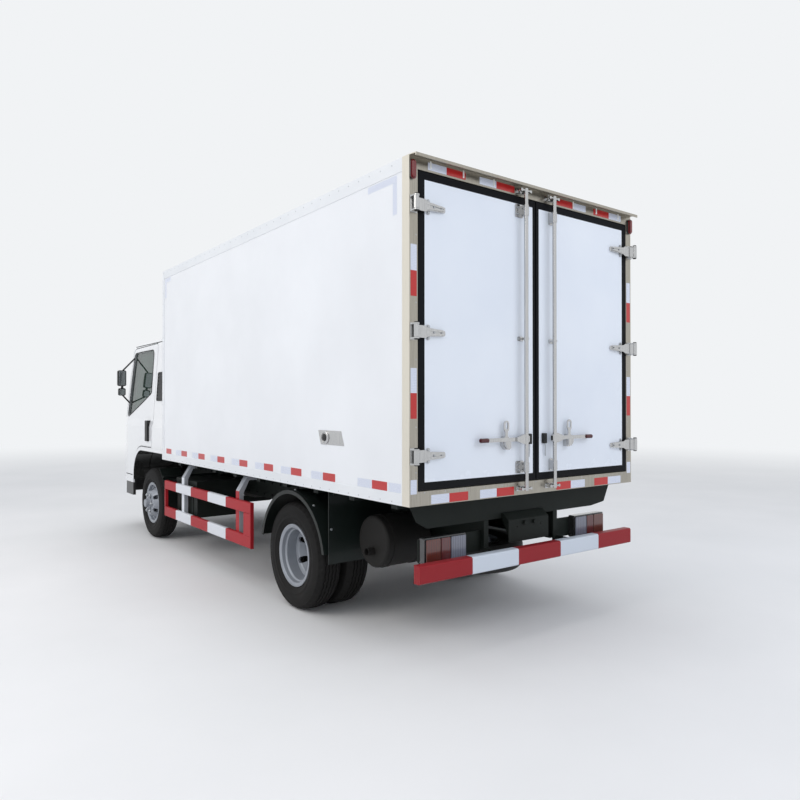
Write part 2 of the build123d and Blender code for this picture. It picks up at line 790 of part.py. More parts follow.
hub_rows = (
    # x, z, radius
    (rod_place - 24, handle_height - 16, 8),
    (rod_place - 24, handle_height + 16, 8),
    (rod_place - 4, handle_height + 34, 12),
    (rod_place + 30, handle_height + 30, 12),
    (rod_place + 88, handle_height + 12, 0),
    (rod_place + 88, handle_height - 12, 0),
    (rod_place + 30, handle_height - 30, 12),
    (rod_place - 4, handle_height - 34, 12),
)
rod += along_y(hub_rows, (handle_y[0], rod_y + 6))
handle_rows = (
    # x, z, radius
    (rod_place + 60, handle_height - 12, 0),
    (rod_place + 60, handle_height + 12, 0),
    (rod_place + handle_reach, handle_height + 12, 11),
    (rod_place + handle_reach, handle_height - 12, 11),
)
rod += along_y(handle_rows, handle_y)
grip_length = 66
grip_end = rod_place + handle_reach - 6
rod += fillet(bar(14, (grip_end - grip_length, rod_y - 8, handle_height), (grip_end, rod_y - 8, handle_height))
              .edges().filter_by(GeomType.CIRCLE), 5)
catch_x = 300
catch_rows = (
    # x, z, radius
    (catch_x - 30, handle_height - 62, 8),
    (catch_x - 30, handle_height - 8, 0),
    (catch_x - 18, handle_height + 20, 8),
    (catch_x + 18, handle_height + 20, 8),
    (catch_x + 30, handle_height - 8, 0),
    (catch_x + 30, handle_height - 36, 26),
    (catch_x + 4, handle_height - 62, 8),
)
rod += along_y(catch_rows, (rear_face, handle_y[0]))
hook_rows = (
    # x, z, radius
    (catch_x - 26, handle_height - 56, 8),
    (catch_x - 26, handle_height - 12, 0),
    (catch_x + 26, handle_height - 12, 0),
    (catch_x + 26, handle_height - 34, 20),
    (catch_x + 4, handle_height - 56, 8),
)
rod += along_y(hook_rows, (handle_y[0], handle_y[1] + 6))
loop_low = handle_height + 12
loop_high = handle_height + 118
loop_half = 22
stem_rows = (
    # x, z, radius
    (catch_x - 11, loop_low - 4, 0),
    (catch_x - 11, loop_low + 34, 14),
    (catch_x - loop_half, loop_low + 52, 14),
    (catch_x - loop_half, loop_high, 21),
    (catch_x + loop_half, loop_high, 21),
    (catch_x + loop_half, loop_low + 52, 14),
    (catch_x + 11, loop_low + 34, 14),
    (catch_x + 11, loop_low - 4, 0),
)
loop = along_y(stem_rows, (handle_y[0] - 8, handle_y[0]))
loop_hole_rows = (
    # x, z, radius
    (catch_x - loop_half + 11, loop_low + 52, 10),
    (catch_x - loop_half + 11, loop_high - 11, 10),
    (catch_x + loop_half - 11, loop_high - 11, 10),
    (catch_x + loop_half - 11, loop_low + 52, 10),
)
rod += loop - along_y(loop_hole_rows, (rear_face, rod_y))
for name, side in sides:
    keep("rear_door_" + name, on_side(panel, side))
    keep("rear_door_" + name + "_seal", on_side(seal, side))
    keep("rear_door_" + name + "_hardware", on_side(hardware, side), on_side(rod, side))

# Lamps: oval markers in a rubber rim, and wide tail lamps with three lenses
def oval(grow):
    return (
        # x, z, radius
        (pivot_x - 27 - grow, marker_low - grow, 20 + grow),
        (pivot_x + 13 + grow, marker_low - grow, 18 + grow),
        (pivot_x + 13 + grow, marker_low + marker_height + grow, 18 + grow),
        (pivot_x - 27 - grow, marker_low + marker_height + grow, 20 + grow),
    )


marker_height = 110
marker_low = box_top - 139
marker = along_y(oval(0), (rear_face, rear_face + 12))
lens = along_y(oval(-7), (rear_face + 11, rear_face + 25))
marker += fillet(lens.faces().sort_by(Axis.Y)[-1].edges(), 6)
tail_y = rear_face - 95
tail_x = (515, 845)
tail_z = (box_bottom - 367, box_bottom - 213)
tail_rim = 9
lens_gap = 6
lens_splits = (128, 206)
tail = rounded_box(tail_x, (tail_y - 60, tail_y - 12), tail_z, 12)
lens_starts = (tail_x[0] + tail_rim, tail_x[0] + lens_splits[0] + lens_gap, tail_x[0] + lens_splits[1] + lens_gap)
lens_ends = (tail_x[0] + lens_splits[0], tail_x[0] + lens_splits[1], tail_x[1] - tail_rim)
for start, end in zip(lens_starts, lens_ends):
    pane = rounded_box((start, end), (tail_y - 14, tail_y), (tail_z[0] + tail_rim, tail_z[1] - tail_rim), 8)
    tail += fillet(pane.faces().sort_by(Axis.Y)[-1].edges(), 4)
keep("rear_lamps", marker, mirrored(marker), tail, mirrored(tail))

# Rear valance, lamp brackets, under-run brackets and the folded plate carrier
valance_low = rail_top - 5
valance_back = rear_face - frame_end_inset + 6
valance_rows = (
    # x, z, radius
    (-box_half + 90, box_bottom, 0),
    (-box_half + 160, valance_low + 20, 20),
    (-box_half + 310, valance_low, 20),
    (box_half - 230, valance_low, 20),
    (box_half - 150, valance_low + 45, 20),
    (box_half - 90, box_bottom, 0),
)
valance = along_y(valance_rows, (rear_face - frame_end_inset, valance_back))
arm = block((frame_half, tail_x[1] + 5), (tail_y - 70, tail_y - 60), (tail_z[0] + 12, tail_z[1] - 12))
arm += block((frame_half - 40, frame_half), (frame_back, tail_y - 25), (underrun_bottom, valance_low))
arm += block((frame_half - 8, frame_half), (tail_y - 25, rear_face + underrun_overhang - underrun_depth),
             (underrun_bottom, underrun_top))
plate_y = rear_face - 60
plate_sheet = 3
plate_half = 190
plate_hole_spacing = 220
plate_hole_radius = 4
plate_hole_z = 700
carrier_rows = (
    # y, z, radius
    (valance_back, valance_low + 34, 0),
    (valance_back + 10, valance_low + 34, 8),
    (plate_y, plate_hole_z + 46, 14),
    (plate_y, plate_hole_z - 95, 6),
    (plate_y - 34, plate_hole_z - 104, 0),
    (plate_y - 34, plate_hole_z - 100, 0),
    (plate_y - plate_sheet, plate_hole_z - 92, 3),
    (plate_y - plate_sheet, plate_hole_z + 44, 11),
    (valance_back + 8, valance_low + 30, 5),
    (valance_back, valance_low + 30, 0),
)
carrier = along_x(carrier_rows, (-plate_half, plate_half))
gusset_rows = (
    # y, z, radius
    (valance_back, valance_low + 31, 0),
    (plate_y - 1, plate_hole_z + 42, 0),
    (plate_y - 1, plate_hole_z - 60, 0),
    (valance_back, valance_low + 4, 0),
)
for x in (-plate_half, plate_half - plate_sheet):
    carrier += along_x(gusset_rows, (x, x + plate_sheet))
for x in (-45, 45):
    carrier += bar(14, (x, plate_y - 1, plate_hole_z + 22), (x, plate_y + 16, plate_hole_z + 22))
for x in (-plate_hole_spacing / 2, plate_hole_spacing / 2):
    carrier -= bar(plate_hole_radius, (x, plate_y - 10, plate_hole_z), (x, plate_y + 10, plate_hole_z))
keep("rear_valance", valance, arm, mirrored(arm), carrier)

# Rear under-run bar
bar_y = (rear_face + underrun_overhang - underrun_depth, rear_face + underrun_overhang)
underrun_sheet = 5
bar_rows = (
    # y, z, radius
    (bar_y[0], underrun_bottom, 0),
    (bar_y[1], underrun_bottom, 12),
    (bar_y[1], underrun_top, 12),
    (bar_y[0], underrun_top, 0),
    (bar_y[0], underrun_top - underrun_sheet, 0),
    (bar_y[1] - underrun_sheet, underrun_top - underrun_sheet, 7),
    (bar_y[1] - underrun_sheet, underrun_bottom + underrun_sheet, 7),
    (bar_y[0], underrun_bottom + underrun_sheet, 0),
)
underrun = along_x(bar_rows, (-underrun_half, underrun_half))
for x in (-underrun_half, frame_half - 8 - underrun_sheet - seat_gap, underrun_half - underrun_sheet,
          -frame_half + 8 + seat_gap):
    underrun += block((x, x + underrun_sheet), (bar_y[0] + 2, bar_y[1] - 4), (underrun_bottom + 2, underrun_top - 2))
keep("underrun_bar", underrun)

# Rear fenders with their flaps
fender_radius = 480
fender_y = rear_axle_y + 30
fender_sheet = 4
fender_x = (545, 1020)
fender_low = 480
outer_disc = bar(fender_radius, (fender_x[0], fender_y, axle_height), (fender_x[1], fender_y, axle_height))
inner_disc = bar(fender_radius - fender_sheet, (fender_x[0] - 1, fender_y, axle_height),
                 (fender_x[1] - 5, fender_y, axle_height))
lip_hole = bar(fender_radius - 28, (fender_x[0] - 1, fender_y, axle_height),
               (fender_x[1] + 1, fender_y, axle_height))
fender = outer_disc - inner_disc - lip_hole
fender -= block((0, 1200), (fender_y - 600, fender_y + 600), (-200, fender_low))
for y in cross_beam_ys:
    if abs(y + cross_beam_width / 2 - fender_y) < fender_radius - 120:
        hanger_block = block((640, 700), (y + 10, y + cross_beam_width - 10), (axle_height, sill_beam_top - seat_gap))
        fender += hanger_block - outer_disc
flap_y = rear_face - 930
flap = block((480, 1000), (flap_y, flap_y + 6), (420, box_bottom - seat_gap))
flap += block((frame_half + seat_gap, 980), (flap_y + 6, flap_y + 34), (box_bottom - 34, box_bottom - seat_gap))
fender_pieces = [fender, flap, mirrored(fender), mirrored(flap)]
keep("rear_fenders", *fender_pieces)

# Side guards: two rails with end plates between them, on bent square-tube brackets
guard_inset = (83, 53)
guard_x = (box_half - guard_inset[0], box_half - guard_inset[1])
guard_front = box_front - 80
guard_back = rear_axle_y - 715
guard_high = (594, 685)
guard_low = (311, 410)
guard_plate = (25, 137)
bracket_places = (440, 1772)
bracket_tube = 40
guard = []
for z in (guard_high, guard_low):
    guard_rail = block(guard_x, (guard_front, guard_back), z)
    long_edges = guard_rail.edges().filter_by(Axis.Y).group_by(Axis.X)[-1]
    guard.append(fillet(long_edges, 8))
slot_z = (guard_low[1], guard_high[0])
guard.append(block(guard_x, (guard_front, guard_front + guard_plate[0]), slot_z))
guard.append(block(guard_x, (guard_back - guard_plate[1], guard_back), slot_z))
for place in bracket_places:
    y = guard_front + place
    bracket_rows = (
        # x, z, radius
        (guard_x[0] - bracket_tube, guard_low[0] + 19, 0),
        (guard_x[0], guard_low[0] + 19, 0),
        (guard_x[0], guard_high[1] + 67, 20),
        (guard_x[0] - 77, sill_beam_top, 20),
        (560, sill_beam_top, 0),
        (560, sill_beam_top - 35, 0),
        (guard_x[0] - 92, sill_beam_top - 35, 15),
        (guard_x[0] - bracket_tube, guard_high[1] + 50, 15),
    )
    guard.append(along_y(bracket_rows, (y, y + 70)))
keep("side_guards", *guard, *[mirrored(piece) for piece in guard])

# Front mudguards: a quarter arch with its flap behind each steered wheel, on a round stay
mudguard_radius = 482
mudguard_sheet = 4
mudguard_x = (735, 965)
mudguard_top = 790
mudguard_low = 290
arch = bar(mudguard_radius, (mudguard_x[0], front_axle_y, axle_height), (mudguard_x[1], front_axle_y, axle_height))
arch -= bar(mudguard_radius - mudguard_sheet, (mudguard_x[0] - 1, front_axle_y, axle_height),
            (mudguard_x[1] + 1, front_axle_y, axle_height))
arch = arch & block(mudguard_x, (front_axle_y + 200, front_axle_y + mudguard_radius + 5),
                    (axle_height - 60, mudguard_top))
arch += block(mudguard_x, (front_axle_y + mudguard_radius - 7, front_axle_y + mudguard_radius - 2),
              (mudguard_low, axle_height - 50))
stay = (front_axle_y + 378, 705)
arch += bar(13, (frame_half + seat_gap, *stay), (mudguard_x[1] - 5, *stay))
keep("front_mudguards", arch, mirrored(arch))


# Cab: one outer form, cut from a side view, a rear view and a plan
def cab_form(inset):
    side_rows = (
        # y, z, radius
        (cab_back, cab_floor, 0),
        (cab_front + arch_front, cab_floor, arch_radius),
        (cab_front + arch_front, cab_low, 0),
        (cab_front, cab_low, 0),
        (cab_front, 1010, 300),
        (cab_front + 22, belt_height, 260),
        (cab_front + 208, cab_top - 20, 150),
        (cab_back, cab_top, 60),
    )
    rear_rows = (
        # x, z, radius
        (-cab_half_low, cab_low - 100, 0),
        (-cab_half_low, belt_height - 60, 40),
        (-cab_half_belt, belt_height + 20, 40),
        (-cab_half_roof, cab_top + 8, 110),
        (cab_half_roof, cab_top + 8, 110),
        (cab_half_belt, belt_height + 20, 40),
        (cab_half_low, belt_height - 60, 40),
        (cab_half_low, cab_low - 100, 0),
    )
    plan_rows = (
        # x, y, radius
        (-cab_half_low, cab_back, 70),
        (-cab_half_low, cab_front + 30, corner_radius),
        (-300, cab_front, 900),
        (300, cab_front, 900),
        (cab_half_low, cab_front + 30, corner_radius),
        (cab_half_low, cab_back, 70),
    )
    side_face = outline(side_rows)
    rear_face_form = outline(rear_rows)
    plan_face = outline(plan_rows)
    if inset:
        side_face = offset(side_face, -inset)
        rear_face_form = offset(rear_face_form, -inset)
        plan_face = offset(plan_face, -inset)
    form = extrude(Plane.YZ.offset(-cab_half_low - beyond) * side_face, 2 * (cab_half_low + beyond))
    form = form & extrude(Plane.XZ.offset(-cab_back - 100) * rear_face_form, cab_length + 400)
    return form & extrude(Plane.XY.offset(cab_low - 200) * plan_face, cab_top)


def tunnel(grow):
    return block((-tunnel_half - grow, tunnel_half + grow), (cab_front + cab_wall + 10 - grow, cab_back + 100),
                 (0, cab_floor + grow))


door_front = cab_front + 105
door_back = cab_back - 445
door_edge = cab_wall + door_sill_clear
window_top = cab_top - 130
door_outline = (
    # y, z, radius
    (door_back, cab_floor + door_edge, 40),
    (cab_front + arch_front - door_edge, cab_floor + door_edge, arch_radius + door_edge),
    (cab_front + arch_front - door_edge, cab_low + door_edge, 30),
    (door_front, cab_low + door_edge, 12),
    (door_front, belt_height + 40, 60),
    (door_front + 145, cab_top - 20 - door_edge, 90),
    (door_back, cab_top - 7 - door_edge, 60),
)
window_outline = (
    # y, z, radius
    (door_back - 135, belt_height + 324, 30),
    (door_back - 135, window_top, 60),
    (cab_front + 285, window_top - 3, 60),
    (cab_front + 160, belt_height + 44, 30),
)
screen_bottom = belt_height + 45
screen_half_low = cab_half_low - 105
screen_half_top = cab_half_roof - 85
screen_outline = (
    # x, z, radius
    (-screen_half_low, screen_bottom, 70),
    (-screen_half_top, window_top, 90),
    (screen_half_top, window_top, 90),
    (screen_half_low, screen_bottom, 70),
)
back_window_outline = (
    # x, z, radius
    (-420, belt_height + 320, 60),
    (-420, cab_top - 290, 60),
    (420, cab_top - 290, 60),
    (420, belt_height + 320, 60),
)


door_zone = (cab_half_roof - 105, cab_half_low + beyond)


def side_prism(rows, grow):
    face = outline(rows)
    if grow:
        face = offset(face, grow)
    return extrude(Plane.YZ.offset(door_zone[0]) * face, door_zone[1] - door_zone[0])


def rear_prism(rows, grow, y):
    face = outline(rows)
    if grow:
        face = offset(face, grow)
    return extrude(Plane.XZ.offset(-y[1]) * face, y[1] - y[0])


outer_form = cab_form(0)
cab_shell = (outer_form - tunnel(0)) - (cab_form(cab_wall) - tunnel(cab_wall))
pane_form = cab_form(glass_inset) - cab_form(glass_inset + glass_thick)
front_zone = (cab_front - 50, cab_front + 420)
back_zone = (cab_back - 120, cab_back + 50)
cab_shell -= rear_prism(screen_outline, 0, front_zone)
cab_shell -= rear_prism(back_window_outline, 0, back_zone)
skin_form = cab_form(door_skin)
door_solid = (cab_shell - skin_form) & side_prism(door_outline, 0)
door_solid += (cab_shell & skin_form) & side_prism(door_outline, -door_rebate)
cab_shell -= side_prism(door_outline, cab_door_clear)
cab_shell -= mirrored(side_prism(door_outline, cab_door_clear))

# Front panel: a separate pressing below the windscreen, with its lamps and grille
wide = (-cab_half_low - beyond, cab_half_low + beyond)
front_zone_low = block(wide, (cab_front - 100, cab_front + cab_wall + 10), (cab_low - 10, screen_bottom))
front_panel = cab_shell & front_zone_low
cab_shell -= front_zone_low
lamp_outline = (
    # x, z, radius
    (cab_half_low - 425, cab_low + 100, 30),
    (cab_half_low - 385, cab_low + 305, 30),
    (cab_half_low - 105, cab_low + 330, 30),
    (cab_half_low - 105, cab_low + 140, 30),
)
grille_half = cab_half_low - 515
grille_outline = (
    # x, z, radius
    (-grille_half, cab_low + 120, 25),
    (-grille_half - 20, cab_low + 400, 40),
    (grille_half + 20, cab_low + 400, 40),
    (grille_half, cab_low + 120, 25),
)
lamp_zone = (cab_front - 60, cab_front + cab_wall + 9)
lamp_hole = rear_prism(lamp_outline, 0, lamp_zone)
grille_hole = rear_prism(grille_outline, 0, lamp_zone)
front_panel -= lamp_hole + mirrored(lamp_hole) + grille_hole
headlamp = (cab_form(6) - cab_form(cab_wall - 5)) & rear_prism(lamp_outline, -seat_gap, lamp_zone)
headlamp += (cab_form(3) - cab_form(10)) & rear_prism(lamp_outline, -14, lamp_zone)
split_x = cab_half_low - 180
headlamp -= block((split_x, split_x + 6), (cab_front - 20, cab_front + 60), (cab_low, belt_height)) - cab_form(12)
grille_form = (cab_form(6) - cab_form(cab_wall - 20)) & rear_prism(grille_outline, -seat_gap, lamp_zone)
slot_height = 26
slot_pitch = 50
slot_count = 5
for index in range(slot_count):
    z = cab_low + 142 + index * slot_pitch
    slot = block((-grille_half + 40, grille_half - 40), lamp_zone, (z, z + slot_height))
    grille_form -= fillet(slot.edges().filter_by(Axis.Y), 10)

# Louvred vents on the rear corners
corner_y = (door_back + 80, door_back + 300)
corner_z = (belt_height + 230, belt_height + 550)
corner_rows = (
    # y, z, radius
    (corner_y[0], corner_z[0], 25),
    (corner_y[0], corner_z[1], 25),
    (corner_y[1], corner_z[1], 25),
    (corner_y[1], corner_z[0], 25),
)
corner_vent = (cab_form(-9) - cab_form(-seat_gap)) & side_prism(corner_rows, 0)
corner_vent -= side_prism(corner_rows, -14) & (cab_form(-12) - cab_form(-3))
blade_pitch = 40
for index in range(7):
    z = corner_z[0] + 30 + index * blade_pitch
    louvre = (cab_form(-8) - cab_form(-2)) & block(door_zone, (corner_y[0] + 12, corner_y[1] - 12), (z, z + 20))
    corner_vent += louvre

# A raised flare round the wheel arch
flare_rows = (
    # y, z, radius
    (cab_back, cab_floor, 0),
    (cab_front + arch_front, cab_floor, arch_radius),
    (cab_front + arch_front, cab_low, 0),
    (cab_front + arch_front - flare_width, cab_low, 0),
    (cab_front + arch_front - flare_width, cab_floor + flare_width, arch_radius + flare_width),
    (cab_back, cab_floor + flare_width, 0),
)
flare = (cab_form(-flare_lift) - cab_form(cab_wall / 2)) & side_prism(flare_rows, 0)

# The shell is welded from a floor pan, two door rings, a back panel and a roof
seam_x = screen_half_top - 5
seam_top = cab_top - 90
seam_back = cab_back - 75
length_y = (cab_front - 100, cab_back + 50)
door_ring = cab_shell & block((seam_x, wide[1]), length_y, (cab_low - 10, cab_top + 100))
door_ring += flare
roof_zone = block((-seam_x, seam_x), length_y, (seam_top, cab_top + 100))
roof_zone += block((-seam_x, seam_x), (length_y[0], cab_front + 420), (belt_height + 200, seam_top))
roof = cab_shell & roof_zone
back_panel = cab_shell & block((-seam_x, seam_x), (seam_back, length_y[1]), (cab_floor + cab_wall, seam_top))
floor_pan = cab_shell & block((-seam_x, seam_x), length_y, (cab_low - 10, cab_floor + cab_wall))

# Door hinges: a cranked arm on the pillar carries the pin that the door turns on
cab_hinge_x = cab_half_low - 30
cab_hinge_y = door_front + 24.5
cab_hinge_heights = (cab_low + 160, belt_height - 120)
cab_hinge_pin = 4
cab_hinge_boss = 8
cab_arm_half = 18
cab_hinge_room = 5
cab_hinge_reach = cab_arm_half + cab_hinge_room + 12
for height in cab_hinge_heights:
    arm_z = (height - cab_arm_half, height + cab_arm_half)
    arm_rows = (
        # x, y, radius
        (cab_hinge_x - 52, cab_hinge_y - 45, 0),
        (cab_hinge_x - 44, cab_hinge_y - 45, 0),
        (cab_hinge_x - 44, cab_hinge_y - 5, 3),
        (cab_hinge_x, cab_hinge_y - 5, 0),
        (cab_hinge_x, cab_hinge_y + 5, 0),
        (cab_hinge_x - 52, cab_hinge_y + 5, 8),
    )
    door_ring += along_z(arm_rows, arm_z)
    door_ring += bar(cab_hinge_boss, (cab_hinge_x, cab_hinge_y, arm_z[0]),
                     (cab_hinge_x, cab_hinge_y, arm_z[1]))
    door_ring += bar(cab_hinge_pin, (cab_hinge_x, cab_hinge_y, height - cab_hinge_reach),
                     (cab_hinge_x, cab_hinge_y, height + cab_hinge_reach))
    pocket_z = (arm_z[0] - cab_hinge_room, arm_z[1] + cab_hinge_room)
    door_solid -= block((cab_hinge_x - 60, cab_hinge_x + 6), (cab_hinge_y - 40, cab_hinge_y + 10), pocket_z)
    door_solid -= bar(cab_hinge_boss + cab_hinge_room, (cab_hinge_x, cab_hinge_y, pocket_z[0]),
                      (cab_hinge_x, cab_hinge_y, pocket_z[1]))
    door_solid -= bar(cab_hinge_pin + shaft_clear, (cab_hinge_x, cab_hinge_y, height - cab_hinge_reach - 2),
                      (cab_hinge_x, cab_hinge_y, height + cab_hinge_reach + 2))

keep("cab_body", floor_pan, door_ring, mirrored(door_ring), back_panel, roof)
keep("cab_front", front_panel)
keep("grille", grille_form, corner_vent, mirrored(corner_vent))
keep("headlamps", headlamp, mirrored(headlamp))
screen = pane_form & rear_prism(screen_outline, -pane_clear, front_zone)
back_pane = pane_form & rear_prism(back_window_outline, -pane_clear, back_zone)
keep("cab_glass", screen, back_pane)

# Cab hinge lugs hang beside the tunnel, on the frame's pins
lugs = []
for side in (1, -1):
    lug = block((tunnel_half - 28, tunnel_half), (cab_pivot_y - 40, cab_pivot_y + 40),
                (cab_pivot_height - 40, cab_pivot_height + 40))
    lug -= bar(cab_pin_radius + shaft_clear, (tunnel_half - 60, cab_pivot_y, cab_pivot_height),
               (tunnel_half + 1, cab_pivot_y, cab_pivot_height))
    lugs.append(on_side(lug, side))
cab_with_lugs = nodes["cab_body"]
keep("cab_body", cab_with_lugs, *lugs)

# Front bumper: a channel with side wings back to the wheel arch
bumper_rows = (
    # x, y, radius
    (-cab_half_low, cab_front + arch_front - 30, 0),
    (-cab_half_low, cab_front + 5 - bumper_reach, corner_radius),
    (-300, cab_front - bumper_reach, 900),
    (300, cab_front - bumper_reach, 900),
    (cab_half_low, cab_front + 5 - bumper_reach, corner_radius),
    (cab_half_low, cab_front + arch_front - 30, 0),
)
bumper_face = outline(bumper_rows)
bumper = extrude(Plane.XY.offset(bumper_bottom) * bumper_face, cab_low - bumper_bottom)
hollow = extrude(Plane.XY.offset(bumper_bottom - 1) * offset(bumper_face, -bumper_thick),
                 cab_low - bumper_bottom - 11)
bumper -= hollow
bumper -= block((-cab_half_low + bumper_thick, cab_half_low - bumper_thick),
                (cab_front + 70, cab_front + arch_front + 10), (bumper_bottom - 5, cab_low + 5))
bumper_middle = (bumper_bottom + cab_low) / 2
intake_half = 330
intake = block((-intake_half, intake_half), (cab_front - 60, cab_front + 60), (bumper_middle - 45, bumper_middle + 40))
bumper -= fillet(intake.edges().filter_by(Axis.Y), 18)
for index in range(2):
    z = bumper_middle - 22 + index * 30
    bumper += block((-intake_half - 5, intake_half + 5), (cab_front - bumper_reach + 8, cab_front - bumper_reach + 20),
                    (z, z + 10))
for side in (1, -1):
    pocket = bar(48, (600, cab_front - 60, bumper_middle), (600, cab_front + 60, bumper_middle))
    cup = bar(52, (600, cab_front - bumper_reach + 12, bumper_middle), (600, cab_front + 6, bumper_middle))
    bumper = bumper - on_side(pocket, side) + on_side(cup - bar(44, (600, cab_front - 60, bumper_middle),
                                                                  (600, cab_front - 12, bumper_middle)), side)
keep("front_bumper", bumper)

# Inside the cab: dashboard with the steering wheel, and the seats
dash_half = cab_half_low - 115
dash_rows = (
    # y, z, radius
    (cab_front, 1010, 0),
    (cab_front, belt_height - 30, 0),
    (cab_front + 300, belt_height + 10, 60),
    (cab_front + 430, belt_height - 60, 60),
    (cab_front + 380, 1010, 60),
)
dashboard = along_x(dash_rows, (-dash_half, dash_half)) & cab_form(cab_wall + seat_gap)
wheel_tilt = 28
wheel_centre = (430, cab_front + 560, 1370)
wheel_plane = Pos(*wheel_centre) * Rot(-wheel_tilt, 0, 0)
steering = wheel_plane * Torus(200, 14)
steering += wheel_plane * Cylinder(55, 40)
for turn in (90, 210, 330):
    steering += wheel_plane * Rot(0, 0, turn) * (Pos(100, 0, 0) * Box(205, 26, 12))
column = wheel_plane * (Pos(0, 0, -190) * Cylinder(26, 360))
keep("dashboard", dashboard - wheel_plane * (Pos(0, 0, -190) * Cylinder(26 + seat_gap, 361)))
keep("steering_wheel", steering + column)

seat_table = (
    # middle x, width
    (430, 480),
    (-330, 880),
)
seat_front = cab_back - 900
seats = []
for middle, width in seat_table:
    x = (middle - width / 2, middle + width / 2)
    cushion_rows = (
        # y, z, radius
        (seat_front, cab_floor + cab_wall + seat_gap, 30),
        (seat_front, cab_floor + 240, 50),
        (seat_front + 460, cab_floor + 220, 20),
        (seat_front + 530, cab_floor + 780, 40),
        (seat_front + 640, cab_floor + 780, 40),
        (seat_front + 590, cab_floor + cab_wall + seat_gap, 30),
    )
    seats.append(along_x(cushion_rows, x))
keep("seats", *seats)

# Cab doors with their glass, handle and mirror
door_solid -= side_prism(window_outline, 0)
door_pane = pane_form & side_prism(window_outline, -pane_clear)
door_handle_y = (door_back - 170, door_back - 90)
door_handle_z = (belt_height - 225, belt_height + 10)
handle = rounded_box((cab_half_low - 40, cab_half_low + 24), door_handle_y, door_handle_z, 8)
finger_slot = block((cab_half_low - 45, cab_half_low + 12), (door_handle_y[0] + 22, door_handle_y[1] + 1),
                    (door_handle_z[0] + 40, door_handle_z[1] - 40))
plate = rounded_box((cab_half_low - 40, cab_half_low + 4), door_handle_y, door_handle_z, 8)
handle = (handle - fillet(finger_slot.edges().filter_by(Axis.Y), 12) + plate) - outer_form
mirror_y = cab_front + 290
mirror_x = (cab_half_low + 45, cab_half_low + 140)
mirror_z = (cab_top - 525, cab_top - 335)
mirror_head = rounded_box(mirror_x, (mirror_y - 25, mirror_y + 20), mirror_z, 20)
mirror_head += rounded_box((mirror_x[0] + 5, mirror_x[1] - 10), (mirror_y - 22, mirror_y + 14),
                           (mirror_z[0] - 115, mirror_z[0] - 25), 18)
mirror_head += block((mirror_x[0] + 30, mirror_x[0] + 55), (mirror_y - 12, mirror_y + 8),
                     (mirror_z[0] - 30, mirror_z[0] + 5))
arm_x = mirror_x[0] + 42
arm_table = (
    # start x, y, z and end x, y, z
    (arm_x, mirror_y - 4, mirror_z[0] - 105, cab_half_low - 50, cab_front + 158, belt_height + 200),
    (arm_x, mirror_y - 4, mirror_z[1] - 10, cab_half_roof - 10, cab_front + 256, cab_top - 160),
)
for row in arm_table:
    arm = bar(9, row[:3], row[3:]) - outer_form
    mirror_head += arm
for name, side in sides:
    door_name = "cab_door_" + name
    keep(door_name, on_side(door_solid, side))
    keep(door_name + "_glass", on_side(door_pane, side))
    keep(door_name + "_fittings", on_side(handle, side), on_side(mirror_head, side))

# A fan seen through its opening: hub and slanted blades about the Y axis
def fan(place, radius, blades, depth):
    wheel = bar(radius * 0.28, place, (place[0], place[1] + depth, place[2]))
    for index in range(blades):
        blade = Pos(radius * 0.6, 0, 0) * Rot(28, 0, 0) * Box(radius * 0.75, 4, radius * 0.42)
        middle = Pos(place[0], place[1] + depth / 2, place[2])
        wheel += middle * Rot(0, 360 * index / blades, 0) * blade
    return wheel


# Nose-mounted refrigeration unit outside, with its evaporator inside
unit_top = box_top - top_rail_height - 5
unit_nose = front_outer - 395
unit_half = 680
unit_rows = (
    # y, z, radius
    (front_outer, box_top - 385, 0),
    (unit_nose + 65, box_top - 370, 40),
    (unit_nose, box_top - 285, 60),
    (unit_nose + 55, unit_top, 70),
    (front_outer, unit_top, 0),
)
unit_plan = (
    # x, y, radius
    (-unit_half, front_outer, 0),
    (-unit_half, unit_nose + 20, 70),
    (-unit_half + 190, unit_nose - 1, 200),
    (unit_half - 190, unit_nose - 1, 200),
    (unit_half, unit_nose + 20, 70),
    (unit_half, front_outer, 0),
)
unit = along_x(unit_rows, (-unit_half, unit_half)) & along_z(unit_plan, (box_top - 500, box_top))
fan_radius = 118
fan_z = box_top - 238
fan_spread = 300
fan_depth = 70
fan_back = unit_nose + fan_depth + 40
for x in (-fan_spread, fan_spread):
    unit -= bar(fan_radius, (x, unit_nose - 50, fan_z), (x, fan_back, fan_z))
    unit += fan((x, fan_back - 40, fan_z), fan_radius - 8, 5, 42)
    for rise in (-60, 0, 60):
        half = (fan_radius ** 2 - rise ** 2) ** 0.5 + 4
        unit += block((x - half, x + half), (unit_nose + 42, unit_nose + 50), (fan_z + rise - 4, fan_z + rise + 4))
for side in (1, -1):
    for index in range(6):
        z = box_top - 330 + index * 34
        louvre = block((unit_half - 10, unit_half + 1), (front_outer - 290, front_outer - 60), (z, z + 16))
        unit -= on_side(fillet(louvre.edges().filter_by(Axis.X), 6), side)
keep("refrigeration_unit", unit)

cold_top = panel_top - wall_thick
cold_reach = 420
cold_half = 520
evaporator_rows = (
    # y, z, radius
    (front_inner, cold_top, 0),
    (front_inner + cold_reach, cold_top, 0),
    (front_inner + cold_reach, cold_top - 150, 20),
    (front_inner + cold_reach - 60, cold_top - 230, 40),
    (front_inner, cold_top - 230, 0),
)
evaporator = along_x(evaporator_rows, (-cold_half, cold_half))
for x in (-250, 250):
    mouth = (x, front_inner + cold_reach - 50, cold_top - 92)
    evaporator -= bar(72, mouth, (x, front_inner + cold_reach + 1, mouth[2]))
    evaporator += fan(mouth, 66, 5, 30)
keep("evaporator", evaporator)

os.makedirs("parts", exist_ok=True)
for name, piece in nodes.items():
    export_step(piece, "parts/" + name + ".step")
print(len(nodes), "nodes")
